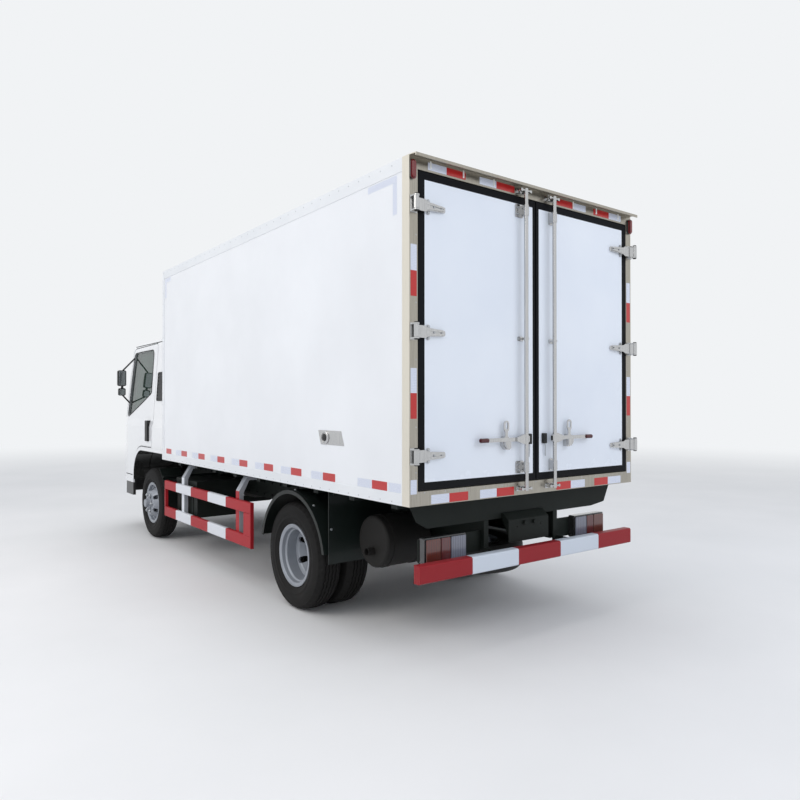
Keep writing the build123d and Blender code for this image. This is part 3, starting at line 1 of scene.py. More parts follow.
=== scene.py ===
import json
import math

import bmesh
import bpy
from mathutils import Matrix, Vector
from mathutils.bvhtree import BVHTree


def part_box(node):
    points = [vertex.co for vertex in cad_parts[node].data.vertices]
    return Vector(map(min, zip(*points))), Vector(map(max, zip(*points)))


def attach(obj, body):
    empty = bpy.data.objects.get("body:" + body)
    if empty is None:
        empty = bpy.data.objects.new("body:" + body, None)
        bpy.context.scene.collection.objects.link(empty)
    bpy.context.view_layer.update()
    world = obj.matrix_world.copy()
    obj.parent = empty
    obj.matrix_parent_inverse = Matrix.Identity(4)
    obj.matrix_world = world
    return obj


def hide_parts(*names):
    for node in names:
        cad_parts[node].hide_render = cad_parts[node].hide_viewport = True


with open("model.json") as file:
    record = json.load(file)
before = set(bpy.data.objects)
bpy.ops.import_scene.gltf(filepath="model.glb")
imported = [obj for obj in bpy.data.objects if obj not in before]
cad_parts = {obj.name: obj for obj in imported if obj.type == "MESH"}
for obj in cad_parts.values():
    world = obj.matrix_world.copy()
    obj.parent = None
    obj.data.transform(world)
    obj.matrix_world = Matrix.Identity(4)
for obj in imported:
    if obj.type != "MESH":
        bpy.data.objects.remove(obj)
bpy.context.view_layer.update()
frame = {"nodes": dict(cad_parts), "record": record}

nodes = frame["nodes"]
print("frame loaded:", len(nodes), "nodes")


# Colours are written as on a paint card and turned to linear light here
def fromHex(code, alpha=1.0):
    values = [int(code[i:i + 2], 16) / 255 for i in (1, 3, 5)]
    linear = [v / 12.92 if v <= 0.04045 else ((v + 0.055) / 1.055) ** 2.4 for v in values]
    return (*linear, alpha)


# A key names an input or a property of the node, and a socket given as value is linked to it
def setNode(tree, node, settings):
    for key, value in settings.items():
        if isinstance(value, bpy.types.NodeSocket):
            tree.links.new(value, node.inputs[key])
        elif isinstance(key, int) or key in node.inputs:
            node.inputs[key].default_value = value
        else:
            setattr(node, key, value)


# Adds one node and gives back the output that is asked for
def addNode(tree, kind, output, settings):
    node = tree.nodes.new("ShaderNode" + kind)
    setNode(tree, node, settings)
    return node.outputs[output]


# One sum on sockets or plain numbers, and the same on vectors
def maths(tree, kind, *values):
    return addNode(tree, "Math", "Value", {"operation": kind, **dict(enumerate(values))})


def vectors(tree, kind, *values):
    output = "Value" if kind in ("LENGTH", "DISTANCE", "DOT_PRODUCT") else "Vector"
    return addNode(tree, "VectorMath", output, {"operation": kind, **dict(enumerate(values))})


def noise(tree, place, scale, detail, settings=None):
    named = {"Scale": scale, "Detail": detail, "Vector": place}
    return addNode(tree, "TexNoise", "Fac", {**named, **(settings or {})})


def mapped(tree, value, settings):
    return addNode(tree, "MapRange", "Result", {"Value": value, **settings})


def bumped(tree, height, strength, distance):
    return addNode(tree, "Bump", "Normal", {"Strength": strength, "Distance": distance, "Height": height})


# Colour ramp with stops as (place, hex)
def toned(tree, source, stops, blend="LINEAR"):
    ramp = addNode(tree, "ValToRGB", "Color", {"Fac": source})
    ramp.node.color_ramp.interpolation = blend
    elements = ramp.node.color_ramp.elements
    while len(elements) < len(stops):
        elements.new(1.0)
    for element, (where, code) in zip(elements, stops):
        element.position = where
        element.color = fromHex(code)
    return ramp


def newMaterial(name):
    material = bpy.data.materials.new(name)
    material.use_nodes = True
    tree = material.node_tree
    return material, tree, tree.nodes["Principled BSDF"], addNode(tree, "TexCoord", "Object", {})


# A coated surface: two close tones in soft clouds, road dust that thins with height, and a fine bump
def coated(name, tones, dust, roughness, grainMm=3, grainLift=0.0002, coat=0.0, metallic=0.0):
    material, tree, shader, place = newMaterial(name)
    cloudMm = 700
    clouds = noise(tree, place, 1000 / cloudMm, 4.0)
    height = addNode(tree, "SeparateXYZ", "Z", {"Vector": place})
    fade = mapped(tree, height, {"From Min": 0.1, "From Max": dust["top"],
                                 "To Min": dust["share"], "To Max": 0.0})
    speck = noise(tree, place, 9.0, 6.0, {"Roughness": 0.7})
    dusty = addNode(tree, "Math", "Value", {"operation": "MULTIPLY", "use_clamp": True, 0: fade, 1: speck})
    paintTone = toned(tree, clouds, ((0.35, tones[0]), (0.68, tones[1])))
    colour = addNode(tree, "MixRGB", "Color", {"name": "dust", "Fac": dusty, "Color1": paintTone,
                                               "Color2": fromHex(dust["tone"])})
    rough = mapped(tree, dusty, {"From Max": 0.5, "To Min": roughness, "To Max": 0.8})
    grain = noise(tree, place, 1000 / grainMm, 2.0)
    setNode(tree, shader, {"Base Color": colour, "Roughness": rough, "Coat Weight": coat,
                           "Coat Roughness": 0.06, "Metallic": metallic,
                           "Normal": bumped(tree, grain, 0.35, grainLift)})
    return material


roadDust = {"tone": "#6f6b63", "top": 1.2, "share": 0.07}
tyreDust = {"tone": "#6d6962", "top": 0.9, "share": 0.1}
lightDust = {"tone": "#b9b6ae", "top": 1.3, "share": 0.12}


# Stainless sheet, brushed along its length: soft streaky glints
def brushedStainless(name, tones, roughness, along="Z"):
    material, tree, shader, place = newMaterial(name)
    stretch = [1.5 if axis == along else 300 for axis in "XYZ"]
    shape = addNode(tree, "Mapping", "Vector", {"Scale": stretch, "Vector": place})
    lines = noise(tree, shape, 3.0, 3.0)
    rough = mapped(tree, lines, {"To Min": roughness - 0.06, "To Max": roughness + 0.1})
    setNode(tree, shader, {"Base Color": toned(tree, lines, ((0.3, tones[0]), (0.7, tones[1]))),
                           "Roughness": rough, "Normal": bumped(tree, lines, 0.15, 0.0003), "Metallic": 1.0})
    return material


# Tinted tempered glass: dark green-grey, clear enough to see the seats
def temperedGlass():
    material, tree, shader, place = newMaterial("temperedGlass")
    tint = toned(tree, noise(tree, place, 2.5, 2.0), ((0.3, "#62786f"), (0.7, "#6f857c")))
    setNode(tree, shader, {"Base Color": tint, "Roughness": 0.02, "Transmission Weight": 0.92, "IOR": 1.5})
    return material


# Where a point lies on a finished material, whole and split, for the masks below
def opened(material):
    tree = material.node_tree
    place = tree.nodes["Texture Coordinate"].outputs["Object"]
    split = addNode(tree, "SeparateXYZ", "X", {"Vector": place}).node.outputs
    return tree, place, split, maths(tree, "ABSOLUTE", split["X"])


# Puts a second colour where a mask is 1, under the dust if the material has some
def paint(tree, mask, tone):
    dust = tree.nodes.get("dust")
    target = dust.inputs["Color1"] if dust else tree.nodes["Principled BSDF"].inputs["Base Color"]
    under = target.links[0].from_socket
    over = addNode(tree, "MixRGB", "Color", {"Fac": mask, "Color1": under, "Color2": fromHex(tone)})
    tree.links.new(over, target)


def below(tree, value, limit):
    return maths(tree, "LESS_THAN", value, limit)


def above(tree, value, limit):
    return maths(tree, "GREATER_THAN", value, limit)


def both(tree, first, second):
    return maths(tree, "MULTIPLY", first, second)


# How far a point lies past the centre of a round corner, along the ways that are not 0
def cornerReach(tree, place, centre, ways):
    ahead = vectors(tree, "MULTIPLY", vectors(tree, "SUBTRACT", place, centre), ways)
    return vectors(tree, "LENGTH", vectors(tree, "MAXIMUM", ahead))


# Bands of paint: hard-edged colours along one axis, under the dust of a coated surface
def banded(name, axis, start, end, stops, dust, roughness):
    material = coated(name, (stops[0][1], stops[0][1]), dust, roughness)
    tree, place, split, aside = opened(material)
    share = mapped(tree, aside if axis == "aside" else split[axis], {"From Min": start, "From Max": end})
    tree.links.new(toned(tree, share, stops, "CONSTANT"), tree.nodes["dust"].inputs["Color1"])
    return material


# Reflective sheeting: glass beads under a film, in 6 mm diamond cells with pale sealed lines
def reflectiveSheet(name, tone, cellTone):
    material, tree, shader, place = newMaterial(name)
    turned = addNode(tree, "Mapping", "Vector", {"Rotation": (math.radians(45), math.radians(45), 0),
                                                 "Scale": (160, 160, 160), "Vector": place})
    cells = addNode(tree, "TexVoronoi", "Distance", {"Scale": 1.0, "Randomness": 0.0,
                                                     "feature": "DISTANCE_TO_EDGE", "Vector": turned})
    setNode(tree, shader, {"Base Color": toned(tree, cells, ((0.03, cellTone), (0.12, tone))),
                           "Normal": bumped(tree, cells, 0.3, 0.0003), "Roughness": 0.3, "Coat Weight": 0.3})
    return material


# Moulded lens: upright prisms under a polished skin
def mouldedLens(name, tone, deepTone, pitchMm):
    material, tree, shader, place = newMaterial(name)
    prisms = addNode(tree, "TexWave", "Fac", {"Scale": 1000 / pitchMm / 6.2832 * 2, "bands_direction": "X",
                                              "Distortion": 0.0, "Vector": place})
    setNode(tree, shader, {"Base Color": toned(tree, prisms, ((0.2, deepTone), (0.8, tone))),
                           "Normal": bumped(tree, prisms, 0.5, 0.001), "Roughness": 0.12, "Coat Weight": 0.8})
    return material


# Plated fasteners: satin metal with faint clouds
def plated(name, tones, roughness):
    material, tree, shader, place = newMaterial(name)
    clouds = noise(tree, place, 60.0, 3.0)
    rough = mapped(tree, clouds, {"To Min": roughness, "To Max": roughness + 0.15})
    setNode(tree, shader, {"Base Color": toned(tree, clouds, ((0.3, tones[0]), (0.7, tones[1]))),
                           "Roughness": rough, "Metallic": 1.0})
    return material


# Woven seat cloth: warp and weft 3 mm apart, drawn coarser than the real 1 mm so that it shows
def wovenCloth(name, tones):
    material, tree, shader, place = newMaterial(name)
    waves = [addNode(tree, "TexWave", "Fac", {"Scale": 110.0, "bands_direction": axis, "Distortion": 0.6,
                                              "Detail": 1.0, "Vector": place}) for axis in "XYZ"]
    weave = maths(tree, "ADD", both(tree, waves[0], waves[1]), waves[2])
    setNode(tree, shader, {"Base Color": toned(tree, weave, ((0.3, tones[0]), (1.0, tones[1]))),
                           "Normal": bumped(tree, weave, 0.4, 0.0008),
                           "Roughness": 0.9, "Sheen Weight": 0.35})
    return material


# The under-run bar and the side guards: red and white bands, the guards on their outer face only. The bar's
# red and white are darker than the guards': painted shade of the truck's rear.
stripes = {
    # barRed and barWhite hold painted shade: darker than the guards' same paint
    "barRed": "#8f1f27", "barWhite": "#cdd5e0", "barEnds": 0.989,
    "barStops": (0.0, 0.190, 0.394, 0.595, 0.795),
    "guardRed": "#a8202a", "guardWhite": "#dfe3ea", "guardEnds": (-1.3625, 0.7675), "guardFace": 0.9565,
    "guardStops": (0.0, 0.1634, 0.3629, 0.5634, 0.7592), "guardInside": "#aeb3ba",
}


def alternate(kind):
    tones = (stripes[kind + "Red"], stripes[kind + "White"]) * 3
    return tuple(zip(stripes[kind + "Stops"], tones))


barPaint = banded("barPaint", "X", -stripes["barEnds"], stripes["barEnds"], alternate("bar"), roadDust, 0.4)
guardPaint = banded("guardPaint", "Y", *stripes["guardEnds"], alternate("guard"), roadDust, 0.4)
tree, place, split, aside = opened(guardPaint)
paint(tree, below(tree, aside, stripes["guardFace"]), stripes["guardInside"])

# Tail lamps: clear, red and amber lenses in a black housing, their tones darkened part way with painted
# shade; the high markers are red in a rubber rim
lamps = {"high": 1.5, "ribPitch": 0.019, "ribWidth": 0.004, "housingFace": 2.8365, "rimFace": 2.9485}
shadedLensStops = ((0.0, "#6f7383"), (0.646, "#560d13"), (0.724, "#5a2014"))
tailLenses = banded("tailLenses", "aside", 0.0, 1.0, shadedLensStops, lightDust, 0.14)
tree, place, split, aside = opened(tailLenses)
rib = below(tree, maths(tree, "MODULO", aside, lamps["ribPitch"]), lamps["ribWidth"])
paint(tree, both(tree, rib, 0.45), "#2a2026")
isHigh = above(tree, split["Z"], lamps["high"])
isLow = below(tree, split["Z"], lamps["high"])
paint(tree, isHigh, "#6e151b")
paint(tree, both(tree, below(tree, split["Y"], lamps["housingFace"]), isLow), "#15161a")
paint(tree, both(tree, below(tree, split["Y"], lamps["rimFace"]), isHigh), "#121316")
setNode(tree, tree.nodes["Principled BSDF"], {"Coat Weight": 0.7})

materials = {
    "panel_white": coated("gelCoatPanel", ("#e6e9ee", "#eceff4"), lightDust, 0.24, coat=0.35),
    "rail_white": coated("powderCoatedAluminium", ("#dfe3e8", "#e8ebef"), lightDust, 0.35),
    "unit_white": coated("mouldedWhiteCover", ("#e4e5e4", "#ecedeb"), lightDust, 0.4),
    "cab_white": coated("cabEnamel", ("#e9ebef", "#eff1f4"), lightDust, 0.22, coat=0.8),
    "chassis_black": coated("chassisPaint", ("#131816", "#1b211f"), roadDust, 0.5, grainLift=0.0006),
    "engine_grey": coated("castIron", ("#3a3a3a", "#474645"), roadDust, 0.7, grainLift=0.002),
    "tank_black": coated("tankPaint", ("#15181a", "#1d2022"), roadDust, 0.4),
    "exhaust_steel": coated("exhaustPaint", ("#121213", "#1b1a19"), roadDust, 0.6),
    "fender_black": coated("fenderPaint", ("#101615", "#17201e"), roadDust, 0.35, coat=0.1),
    "bar_red": barPaint,
    "guard_red": guardPaint,
    "trim_black": coated("grainedAbs", ("#131415", "#191a1c"), lightDust, 0.5, grainMm=1.5, grainLift=0.0006),
    "trim_grey": coated("dashPlastic", ("#3c3d40", "#444549"), lightDust, 0.6, grainMm=1.5, grainLift=0.0006),
    "seat_fabric": wovenCloth("wovenSeatCloth", ("#3e4046", "#565960")),
    "seal_rubber": coated("sealRubber", ("#08090d", "#0d0f14"), {**lightDust, "share": 0.04}, 0.65),
    "rim_silver": coated("rimEnamel", ("#8e939b", "#a3a8b0"), roadDust, 0.4, metallic=0.35),
    "tyre_rubber": coated("tyreRubber", ("#0f0f10", "#161617"), tyreDust, 0.75, grainMm=4, grainLift=0.001),
    "lamp_red": tailLenses,
    "lamp_clear": mouldedLens("headlampLens", "#d5dbe0", "#aab2ba", 9),
    "stainless": brushedStainless("brushedStainless", ("#9a958b", "#bbb6ab"), 0.28),
    "window_glass": temperedGlass(),
}
zinc = plated("zincPlatedSteel", ("#a9adb2", "#c3c6ca"), 0.3)
chrome = plated("chromedSteel", ("#c9ccd0", "#dcdfe2"), 0.08)
blackBolt = plated("blackOxideSteel", ("#1b1c1e", "#2a2b2d"), 0.4)
mirrorSilver = plated("silveredMirror", ("#b8bdc1", "#c6cacd"), 0.02)
redSheet = reflectiveSheet("redReflectiveSheet", "#b5161a", "#c02c28")
whiteSheet = reflectiveSheet("whiteReflectiveSheet", "#c4cbde", "#e4e9f3")
# The rear doors' gel coat is drawn bluer and darker than the side panels: painted shade of the rear face
doorSkinShaded = coated("doorGelCoat", ("#dfe6f1", "#e6ecf5"), lightDust, 0.26, coat=0.3)
amberLens = mouldedLens("amberLens", "#d6821f", "#b05d10", 7)
gasketRubber = coated("gasketRubber", ("#0e0f10", "#161718"), lightDust, 0.55)
alloyFloor = brushedStainless("extrudedAlloyFloor", ("#8f9397", "#a6aaad"), 0.38, "Y")

# Hardware is polished brighter than the frame, with a dark red vinyl grip on each handle's end
gripEnds = (0.462, 0.6)
hardware = brushedStainless("polishedHardware", ("#b3b3b3", "#d2d2d2"), 0.16)
tree, place, split, aside = opened(hardware)
grip = both(tree, above(tree, aside, gripEnds[0]), below(tree, aside, gripEnds[1]))
paint(tree, grip, "#4c1d22")
setNode(tree, tree.nodes["Principled BSDF"], {"Metallic": maths(tree, "SUBTRACT", 1.0, grip)})

# The rear frame's sides face the open sky and look paler than its back
frameSide = 1.0385
frameFinish = brushedStainless("frameStainless", ("#9a958b", "#bbb6ab"), 0.28)
tree, place, split, aside = opened(frameFinish)
paint(tree, above(tree, aside, frameSide), "#e6e0d3")

# Surfaces that face into the cab are painted mid grey, and below its floor the cab is painted near-black as
# shade
cabParts = {
    "middle": (0.0, -2.2, 1.62), "inward": -0.12, "skin": 0.945, "floor": 1.003, "front": -2.86,
    "archCentre": (0.0, -2.1825, 0.66), "archWays": (0.0, -1.0, 1.0), "archLip": 0.3012,
}
tree, place, split, aside = opened(materials["cab_white"])
fromMiddle = vectors(tree, "SUBTRACT", place, cabParts["middle"])
outward = vectors(tree, "DOT_PRODUCT", fromMiddle, place.node.outputs["Normal"])
inward = below(tree, outward, cabParts["inward"])
paint(tree, inward, "#85878a")
hidden = maths(tree, "MAXIMUM", below(tree, aside, cabParts["skin"]), inward)
shadedUnderFloor = both(tree, hidden, below(tree, split["Z"], cabParts["floor"]))
# painted shade: near-black below the cab floor
paint(tree, both(tree, shadedUnderFloor, above(tree, split["Y"], cabParts["front"])), "#1b1d1e")
# the lip of the wheel arch, painted near-black as the shade in the wheel well: its straight sides and the 0.3
# m corner between them
archReach = cornerReach(tree, place, cabParts["archCentre"], cabParts["archWays"])
paint(tree, below(tree, archReach, cabParts["archLip"]), "#131516")

# The bumper's ends are dark plastic below the arch lip, and its hollow back is painted dark as shade:
# all that lies deeper than its 0.15 m outer corner
bumperParts = {"wingFront": -2.79, "wingTop": 0.56, "corner": (0.835, 2.8425, 0.0), "hollow": 0.135}
bumperFinish = coated("bumperEnamel", ("#e9ebef", "#eff1f4"), lightDust, 0.3, coat=0.2)
tree, place, split, aside = opened(bumperFinish)
paint(tree, both(tree, above(tree, split["Y"], bumperParts["wingFront"]),
                 below(tree, split["Z"], bumperParts["wingTop"])), "#0f1113")
hollowReach = cornerReach(tree, vectors(tree, "ABSOLUTE", place), bumperParts["corner"], (1.0, 1.0, 0.0))
# painted shade in the bumper's hollow back
paint(tree, below(tree, hollowReach, bumperParts["hollow"]), "#15171a")

# The spare's rim shows inside its tyre
spareRim = 0.222
spareFinish = coated("spareRubber", ("#121213", "#1a1a1b"), roadDust, 0.7)
tree, place, split, aside = opened(spareFinish)
spareMiddle = [(a + b) / 2 for a, b in zip(*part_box("spare_wheel"))]
paint(tree, below(tree, vectors(tree, "DISTANCE", place, spareMiddle), spareRim), "#8e939b")

# how strongly the dark finishes shine
shineOf = {"tyre_rubber": 0.2, "seal_rubber": 0.15, "exhaust_steel": 0.2, "chassis_black": 0.15,
           "fender_black": 0.2, "bar_red": 0.2, "guard_red": 0.2}
for slot, shine in shineOf.items():
    tree = materials[slot].node_tree
    setNode(tree, tree.nodes["Principled BSDF"], {"Specular IOR Level": shine})

slotOf = {row["node"]: row["material_slot"] for row in frame["record"]["subparts"]}
ownFinish = {
    "rear_door_left": doorSkinShaded, "rear_door_right": doorSkinShaded, "box_fittings": hardware,
    "rear_door_left_hardware": hardware, "rear_door_right_hardware": hardware, "spare_wheel": spareFinish,
    "box_floor": alloyFloor, "front_bumper": bumperFinish, "box_rear_frame": frameFinish,
}
for name, node in nodes.items():
    node.data.materials.clear()
    node.data.materials.append(ownFinish.get(name, materials[slotOf[name]]))
print("materials set")

trees = {}


# Where a straight line first meets one of these CAD nodes, and which way the surface faces there
def touch(start, way, *names):
    best = None
    for name in names:
        if name not in trees:
            mesh = nodes[name].data
            corners = [v.co for v in mesh.vertices]
            trees[name] = BVHTree.FromPolygons(corners, [p.vertices for p in mesh.polygons])
        place, normal, _, distance = trees[name].ray_cast(Vector(start), Vector(way))
        if place is not None and (best is None or distance < best[2]):
            best = (place, normal, distance)
    if best is None:
        raise ValueError("nothing at " + str(start) + " for " + str(names))
    return best[0], best[1]


# The place alone, met from well behind the truck or from one side of it
def touchRear(x, z, name):
    return touch((x, 3.4, z), (0, -1, 0), name)[0]


def touchSide(side, reach, y, z, *names):
    return touch((side * reach, y, z), (-side, 0, 0), *names)[0]


# Points round a circle of radius 1, as sine and cosine
def around(count, offset=0.0):
    angles = [2 * math.pi * (i + offset) / count for i in range(count)]
    return [(math.sin(angle), math.cos(angle)) for angle in angles]


# Axes for a fitting that stands on a surface: right, up and out
def facing(out, up=(0, 0, 1)):
    out = Vector(out).normalized()
    right = Vector(up).cross(out)
    if right.length < 0.05:
        right = Vector((0, 1, 0)).cross(out)
    right.normalize()
    return Matrix((right, out.cross(right), out)).transposed()


# Joins closed loops of points, one after the other, and caps both ends
def addLayers(form, loops, capped=True, closed=False):
    rows = [[form.verts.new(point) for point in loop] for loop in loops]
    pairs = list(zip(rows, rows[1:]))
    if closed:
        pairs.append((rows[-1], rows[0]))
    for low, high in pairs:
        count = len(low)
        for i in range(count):
            form.faces.new((low[i], low[(i + 1) % count], high[(i + 1) % count], high[i]))
    if capped and not closed:
        form.faces.new(list(reversed(rows[0])))
        form.faces.new(rows[-1])


def roundedLoop(width, height, corner, steps=4):
    loop = []
    for cx, cy, turn in ((1, 1, 0), (-1, 1, 90), (-1, -1, 180), (1, -1, 270)):
        for i in range(steps + 1):
            angle = math.radians(turn + 90 * i / steps)
            loop.append((cx * (width / 2 - corner) + corner * math.cos(angle),
                         cy * (height / 2 - corner) + corner * math.sin(angle)))
    return loop


# A plate with rounded corners and an eased edge
def addPlate(form, place, axes, size, corner, lift, ease=0.0, sunk=0.0003, steps=4):
    ease = ease or lift * 0.3
    base = roundedLoop(size[0], size[1], corner, steps)
    top = roundedLoop(size[0] - 2 * ease, size[1] - 2 * ease, max(corner - ease, 0.0001), steps)
    loops = []
    for outline, out in ((base, -sunk), (base, lift - ease), (top, lift)):
        loops.append([Vector(place) + axes @ Vector((u, v, out)) for u, v in outline])
    addLayers(form, loops)


# A turned piece: rows of radius and height above its seat
def addTurned(form, rows, place, axes, sides=16):
    circle = around(sides)
    addLayers(form, [[Vector(place) + axes @ Vector((radius * c, radius * s, out)) for s, c in circle]
                     for radius, out in rows])


# Domed rivet head, and a hexagon head with a washer and an eased top
def addRivet(form, place, axes, radius, height):
    rows = ((radius, -0.0003), (radius * 0.92, height * 0.45), (radius * 0.55, height))
    addTurned(form, rows, place, axes, 10)


def addHexHead(form, place, axes, across, height):
    radius = across / 2 / math.cos(math.pi / 6)
    washer = radius * 1.25
    addTurned(form, ((washer, -0.0003), (washer, height * 0.14)), place, axes, 14)
    head = ((radius, height * 0.12), (radius, height * 0.85), (radius * 0.86, height))
    addTurned(form, head, place, axes, 6)


# A round or flat section carried along a path
def addTube(form, path, radius, sides=8, closed=False, flat=1.0, up=None):
    path = [Vector(p) for p in path]
    circle = around(sides)
    loops = []
    lastUp = Vector(up) if up else None
    for i, point in enumerate(path):
        before = path[i - 1] if i or closed else point
        after = path[(i + 1) % len(path)] if i < len(path) - 1 or closed else point
        way = (after - before).normalized()
        if lastUp is None:
            lastUp = way.orthogonal()
        side = way.cross(lastUp).normalized()
        lastUp = side.cross(way).normalized()
        loops.append([point + side * radius * c + lastUp * radius * flat * s for s, c in circle])
    addLayers(form, loops, closed=closed)


# An outline with round corners, from rows of place, place and corner radius
def softOutline(rows, steps=6, spacing=0.05):
    points = []
    count = len(rows)
    for i in range(count):
        before, here, after = (Vector(rows[j % count][:2]) for j in (i - 1, i, i + 1))
        radius = rows[i][2]
        back = (before - here).normalized()
        ahead = (after - here).normalized()
        half = back.angle(ahead) / 2
        reach = radius / math.tan(half)
        centre = here + (back + ahead).normalized() * radius / math.sin(half)
        first = here + back * reach - centre
        last = here + ahead * reach - centre
        sweep = first.angle_signed(last)
        for k in range(steps + 1):
            points.append(centre + Matrix.Rotation(-sweep * k / steps, 2) @ first)
    filled = []
    for i, point in enumerate(points):
        following = points[(i + 1) % len(points)]
        filled.append(point)
        extra = int((following - point).length / spacing)
        for k in range(extra):
            filled.append(point.lerp(following, (k + 1) / (extra + 1)))
    return filled


def finishPiece(name, form, body, finish):
    bmesh.ops.recalc_face_normals(form, faces=form.faces)
    mesh = bpy.data.meshes.new(name)
    form.to_mesh(mesh)
    form.free()
    mesh.shade_smooth()
    mesh.set_sharp_from_angle(angle=math.radians(35))
    mesh.materials.append(finish)
    piece = bpy.data.objects.new(name, mesh)
    bpy.context.scene.collection.objects.link(piece)
    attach(piece, body)
    return piece


sideWay = {"left": 1, "right": -1}

# Road tyres, 7.00R16: three zigzag grooves, slotted shoulders and a ridged sidewall
tyre = {"segments": 168, "zigzag": 0.0035, "slotDepth": 0.0055, "slotEvery": 4}
# place across, radius, 1 where the edge zigzags, 1 where the shoulder is slotted
tyreSide = (
    (0.0105, 0.3872, 1, 0), (0.0120, 0.3790, 1, 0), (0.0175, 0.3790, 1, 0), (0.0190, 0.3871, 1, 0),
    (0.0370, 0.3866, 1, 0), (0.0385, 0.3785, 1, 0), (0.0440, 0.3785, 1, 0), (0.0455, 0.3864, 1, 0),
    (0.0600, 0.3856, 0, 0), (0.0640, 0.3850, 0, 1), (0.0730, 0.3790, 0, 1), (0.0830, 0.3710, 0, 1),
    (0.0895, 0.3650, 0, 0), (0.0915, 0.3600, 0, 0), (0.0900, 0.3580, 0, 0), (0.0950, 0.3380, 0, 0),
    (0.0985, 0.3150, 0, 0), (0.0995, 0.2980, 0, 0), (0.0990, 0.2960, 0, 0), (0.0975, 0.2760, 0, 0),
    (0.0985, 0.2740, 0, 0), (0.0985, 0.2700, 0, 0), (0.0965, 0.2680, 0, 0), (0.0915, 0.2500, 0, 0),
    (0.0835, 0.2340, 0, 0), (0.0780, 0.2290, 0, 0), (0.0738, 0.2270, 0, 0), (0.0725, 0.2150, 0, 0),
    (0.0700, 0.2046, 0, 0),
)
tyreRows = [(-x, r, z, n) for x, r, z, n in reversed(tyreSide)] + list(tyreSide)
axleHeight = 0.3875
frontY, rearY = -1.8775, 1.4825


def addTyre(form, centre):
    loops = []
    for i, (s, c) in enumerate(around(tyre["segments"])):
        swing = tyre["zigzag"] * (abs(i % 4 - 2) - 1)
        depth = tyre["slotDepth"] * (i % tyre["slotEvery"] == 0)
        loop = []
        for x, radius, zig, slot in tyreRows:
            r = radius - depth * slot
            loop.append((centre[0] + x + swing * zig, centre[1] + r * s, centre[2] + r * c))
        loops.append(loop)
    addLayers(form, loops, closed=True)


for name, side in sideWay.items():
    for axle, y, places, plural in (("front", frontY, (0.870,), ""), ("rear", rearY, (0.6575, 0.8925), "s")):
        form = bmesh.new()
        for x in places:
            addTyre(form, (side * x, y, axleHeight))
        piece = finishPiece(axle + "_" + name + "_road_tyre" + plural, form, axle + "_" + name + "_wheel",
                            materials["tyre_rubber"])
        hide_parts(axle + "_" + name + "_tyre" + plural)
print("tyres made")

# Wheel fastenings: six nuts with their studs on the disc, and a ring of bolts on the hub cap
wheelNuts = {"circle": 0.098, "across": 0.033, "height": 0.02, "stud": 0.009, "boltCircle": 0.061}
nutTop = wheelNuts["height"]
studRows = ((1.0, 0.01), (1.0, nutTop + 0.006), (0.8, nutTop + 0.008))
for name, side in sideWay.items():
    axes = facing((side, 0, 0))
    for axle, y, discX, hubX in (("front", frontY, 0.9875, 1.0015), ("rear", rearY, 0.785, 0.799)):
        form = bmesh.new()
        for s, c in around(6, 0.5):
            spot = (side * discX, y + wheelNuts["circle"] * s, axleHeight + wheelNuts["circle"] * c)
            addHexHead(form, spot, axes, wheelNuts["across"], nutTop)
            addTurned(form, [(wheelNuts["stud"] * share, out) for share, out in studRows], spot, axes, 12)
        for s, c in around(8):
            spot = (side * hubX, y + wheelNuts["boltCircle"] * s, axleHeight + wheelNuts["boltCircle"] * c)
            addHexHead(form, spot, axes, 0.013, 0.006)
        finishPiece(axle + "_" + name + "_wheel_nuts", form, axle + "_" + name + "_wheel", zinc)
print("wheel nuts made")

# Reflective tapes: 50 mm sheeting, cut with small round corners and laid on the panels.
# Each row is start, end, bottom and top.
tape = {"lift": 0.0005, "corner": 0.003, "redLength": 0.155, "join": 0.003}
sideRow, sillRow, headRow = (0.985, 1.037), (0.92, 0.972), (2.822, 2.866)


def tapePiece(name, rows, finish, way):
    form = bmesh.new()
    for a0, a1, z0, z1 in rows:
        a, z = (a0 + a1) / 2, (z0 + z1) / 2
        if way[1]:
            place = touchRear(a, z, "box_rear_frame")
        else:
            place = touchSide(way[0], 1.5, a, z, "box_side_left", "box_side_right", "box_edge_rails",
                              "box_rear_frame")
        addPlate(form, place, facing(way), (abs(a1 - a0), z1 - z0), tape["corner"], tape["lift"], steps=2)
    finishPiece(name, form, "chassis", finish)


redStarts = (2.5705, 1.9995, 1.5525, 1.1165, 0.6625, 0.1985, -0.2545, -0.7095, -1.1565)
cornerWhites = [(2.7375, 2.8575, *sideRow), (2.5275, 2.8205, 2.757, 2.797), (2.7805, 2.8205, 2.574, 2.756),
                (-1.205, -1.035, 2.757, 2.797), (-1.205, -1.165, 2.60, 2.756)]
for name, side in sideWay.items():
    reds = [(y, y + tape["redLength"], *sideRow) for y in redStarts]
    whites = [(y - tape["redLength"], y - tape["join"], *sideRow) for y in redStarts[:-1]]
    tapePiece("side_red_tapes_" + name, reds, redSheet, (side, 0, 0))
    tapePiece("side_white_tapes_" + name, whites + cornerWhites, whiteSheet, (side, 0, 0))
sillRed = ((0.596, 0.745), (0.204, 0.358), (-0.349, -0.20), (-0.759, -0.605))
sillWhite = ((0.745, 0.882), (0.358, 0.499), (-0.50, -0.349), (-0.911, -0.759))
headRed = ((0.615, 0.765), (0.197, 0.358), (-0.374, -0.207), (-0.777, -0.60))
headWhite = ((0.765, 0.905), (0.358, 0.50), (-0.515, -0.374), (-0.92, -0.777))
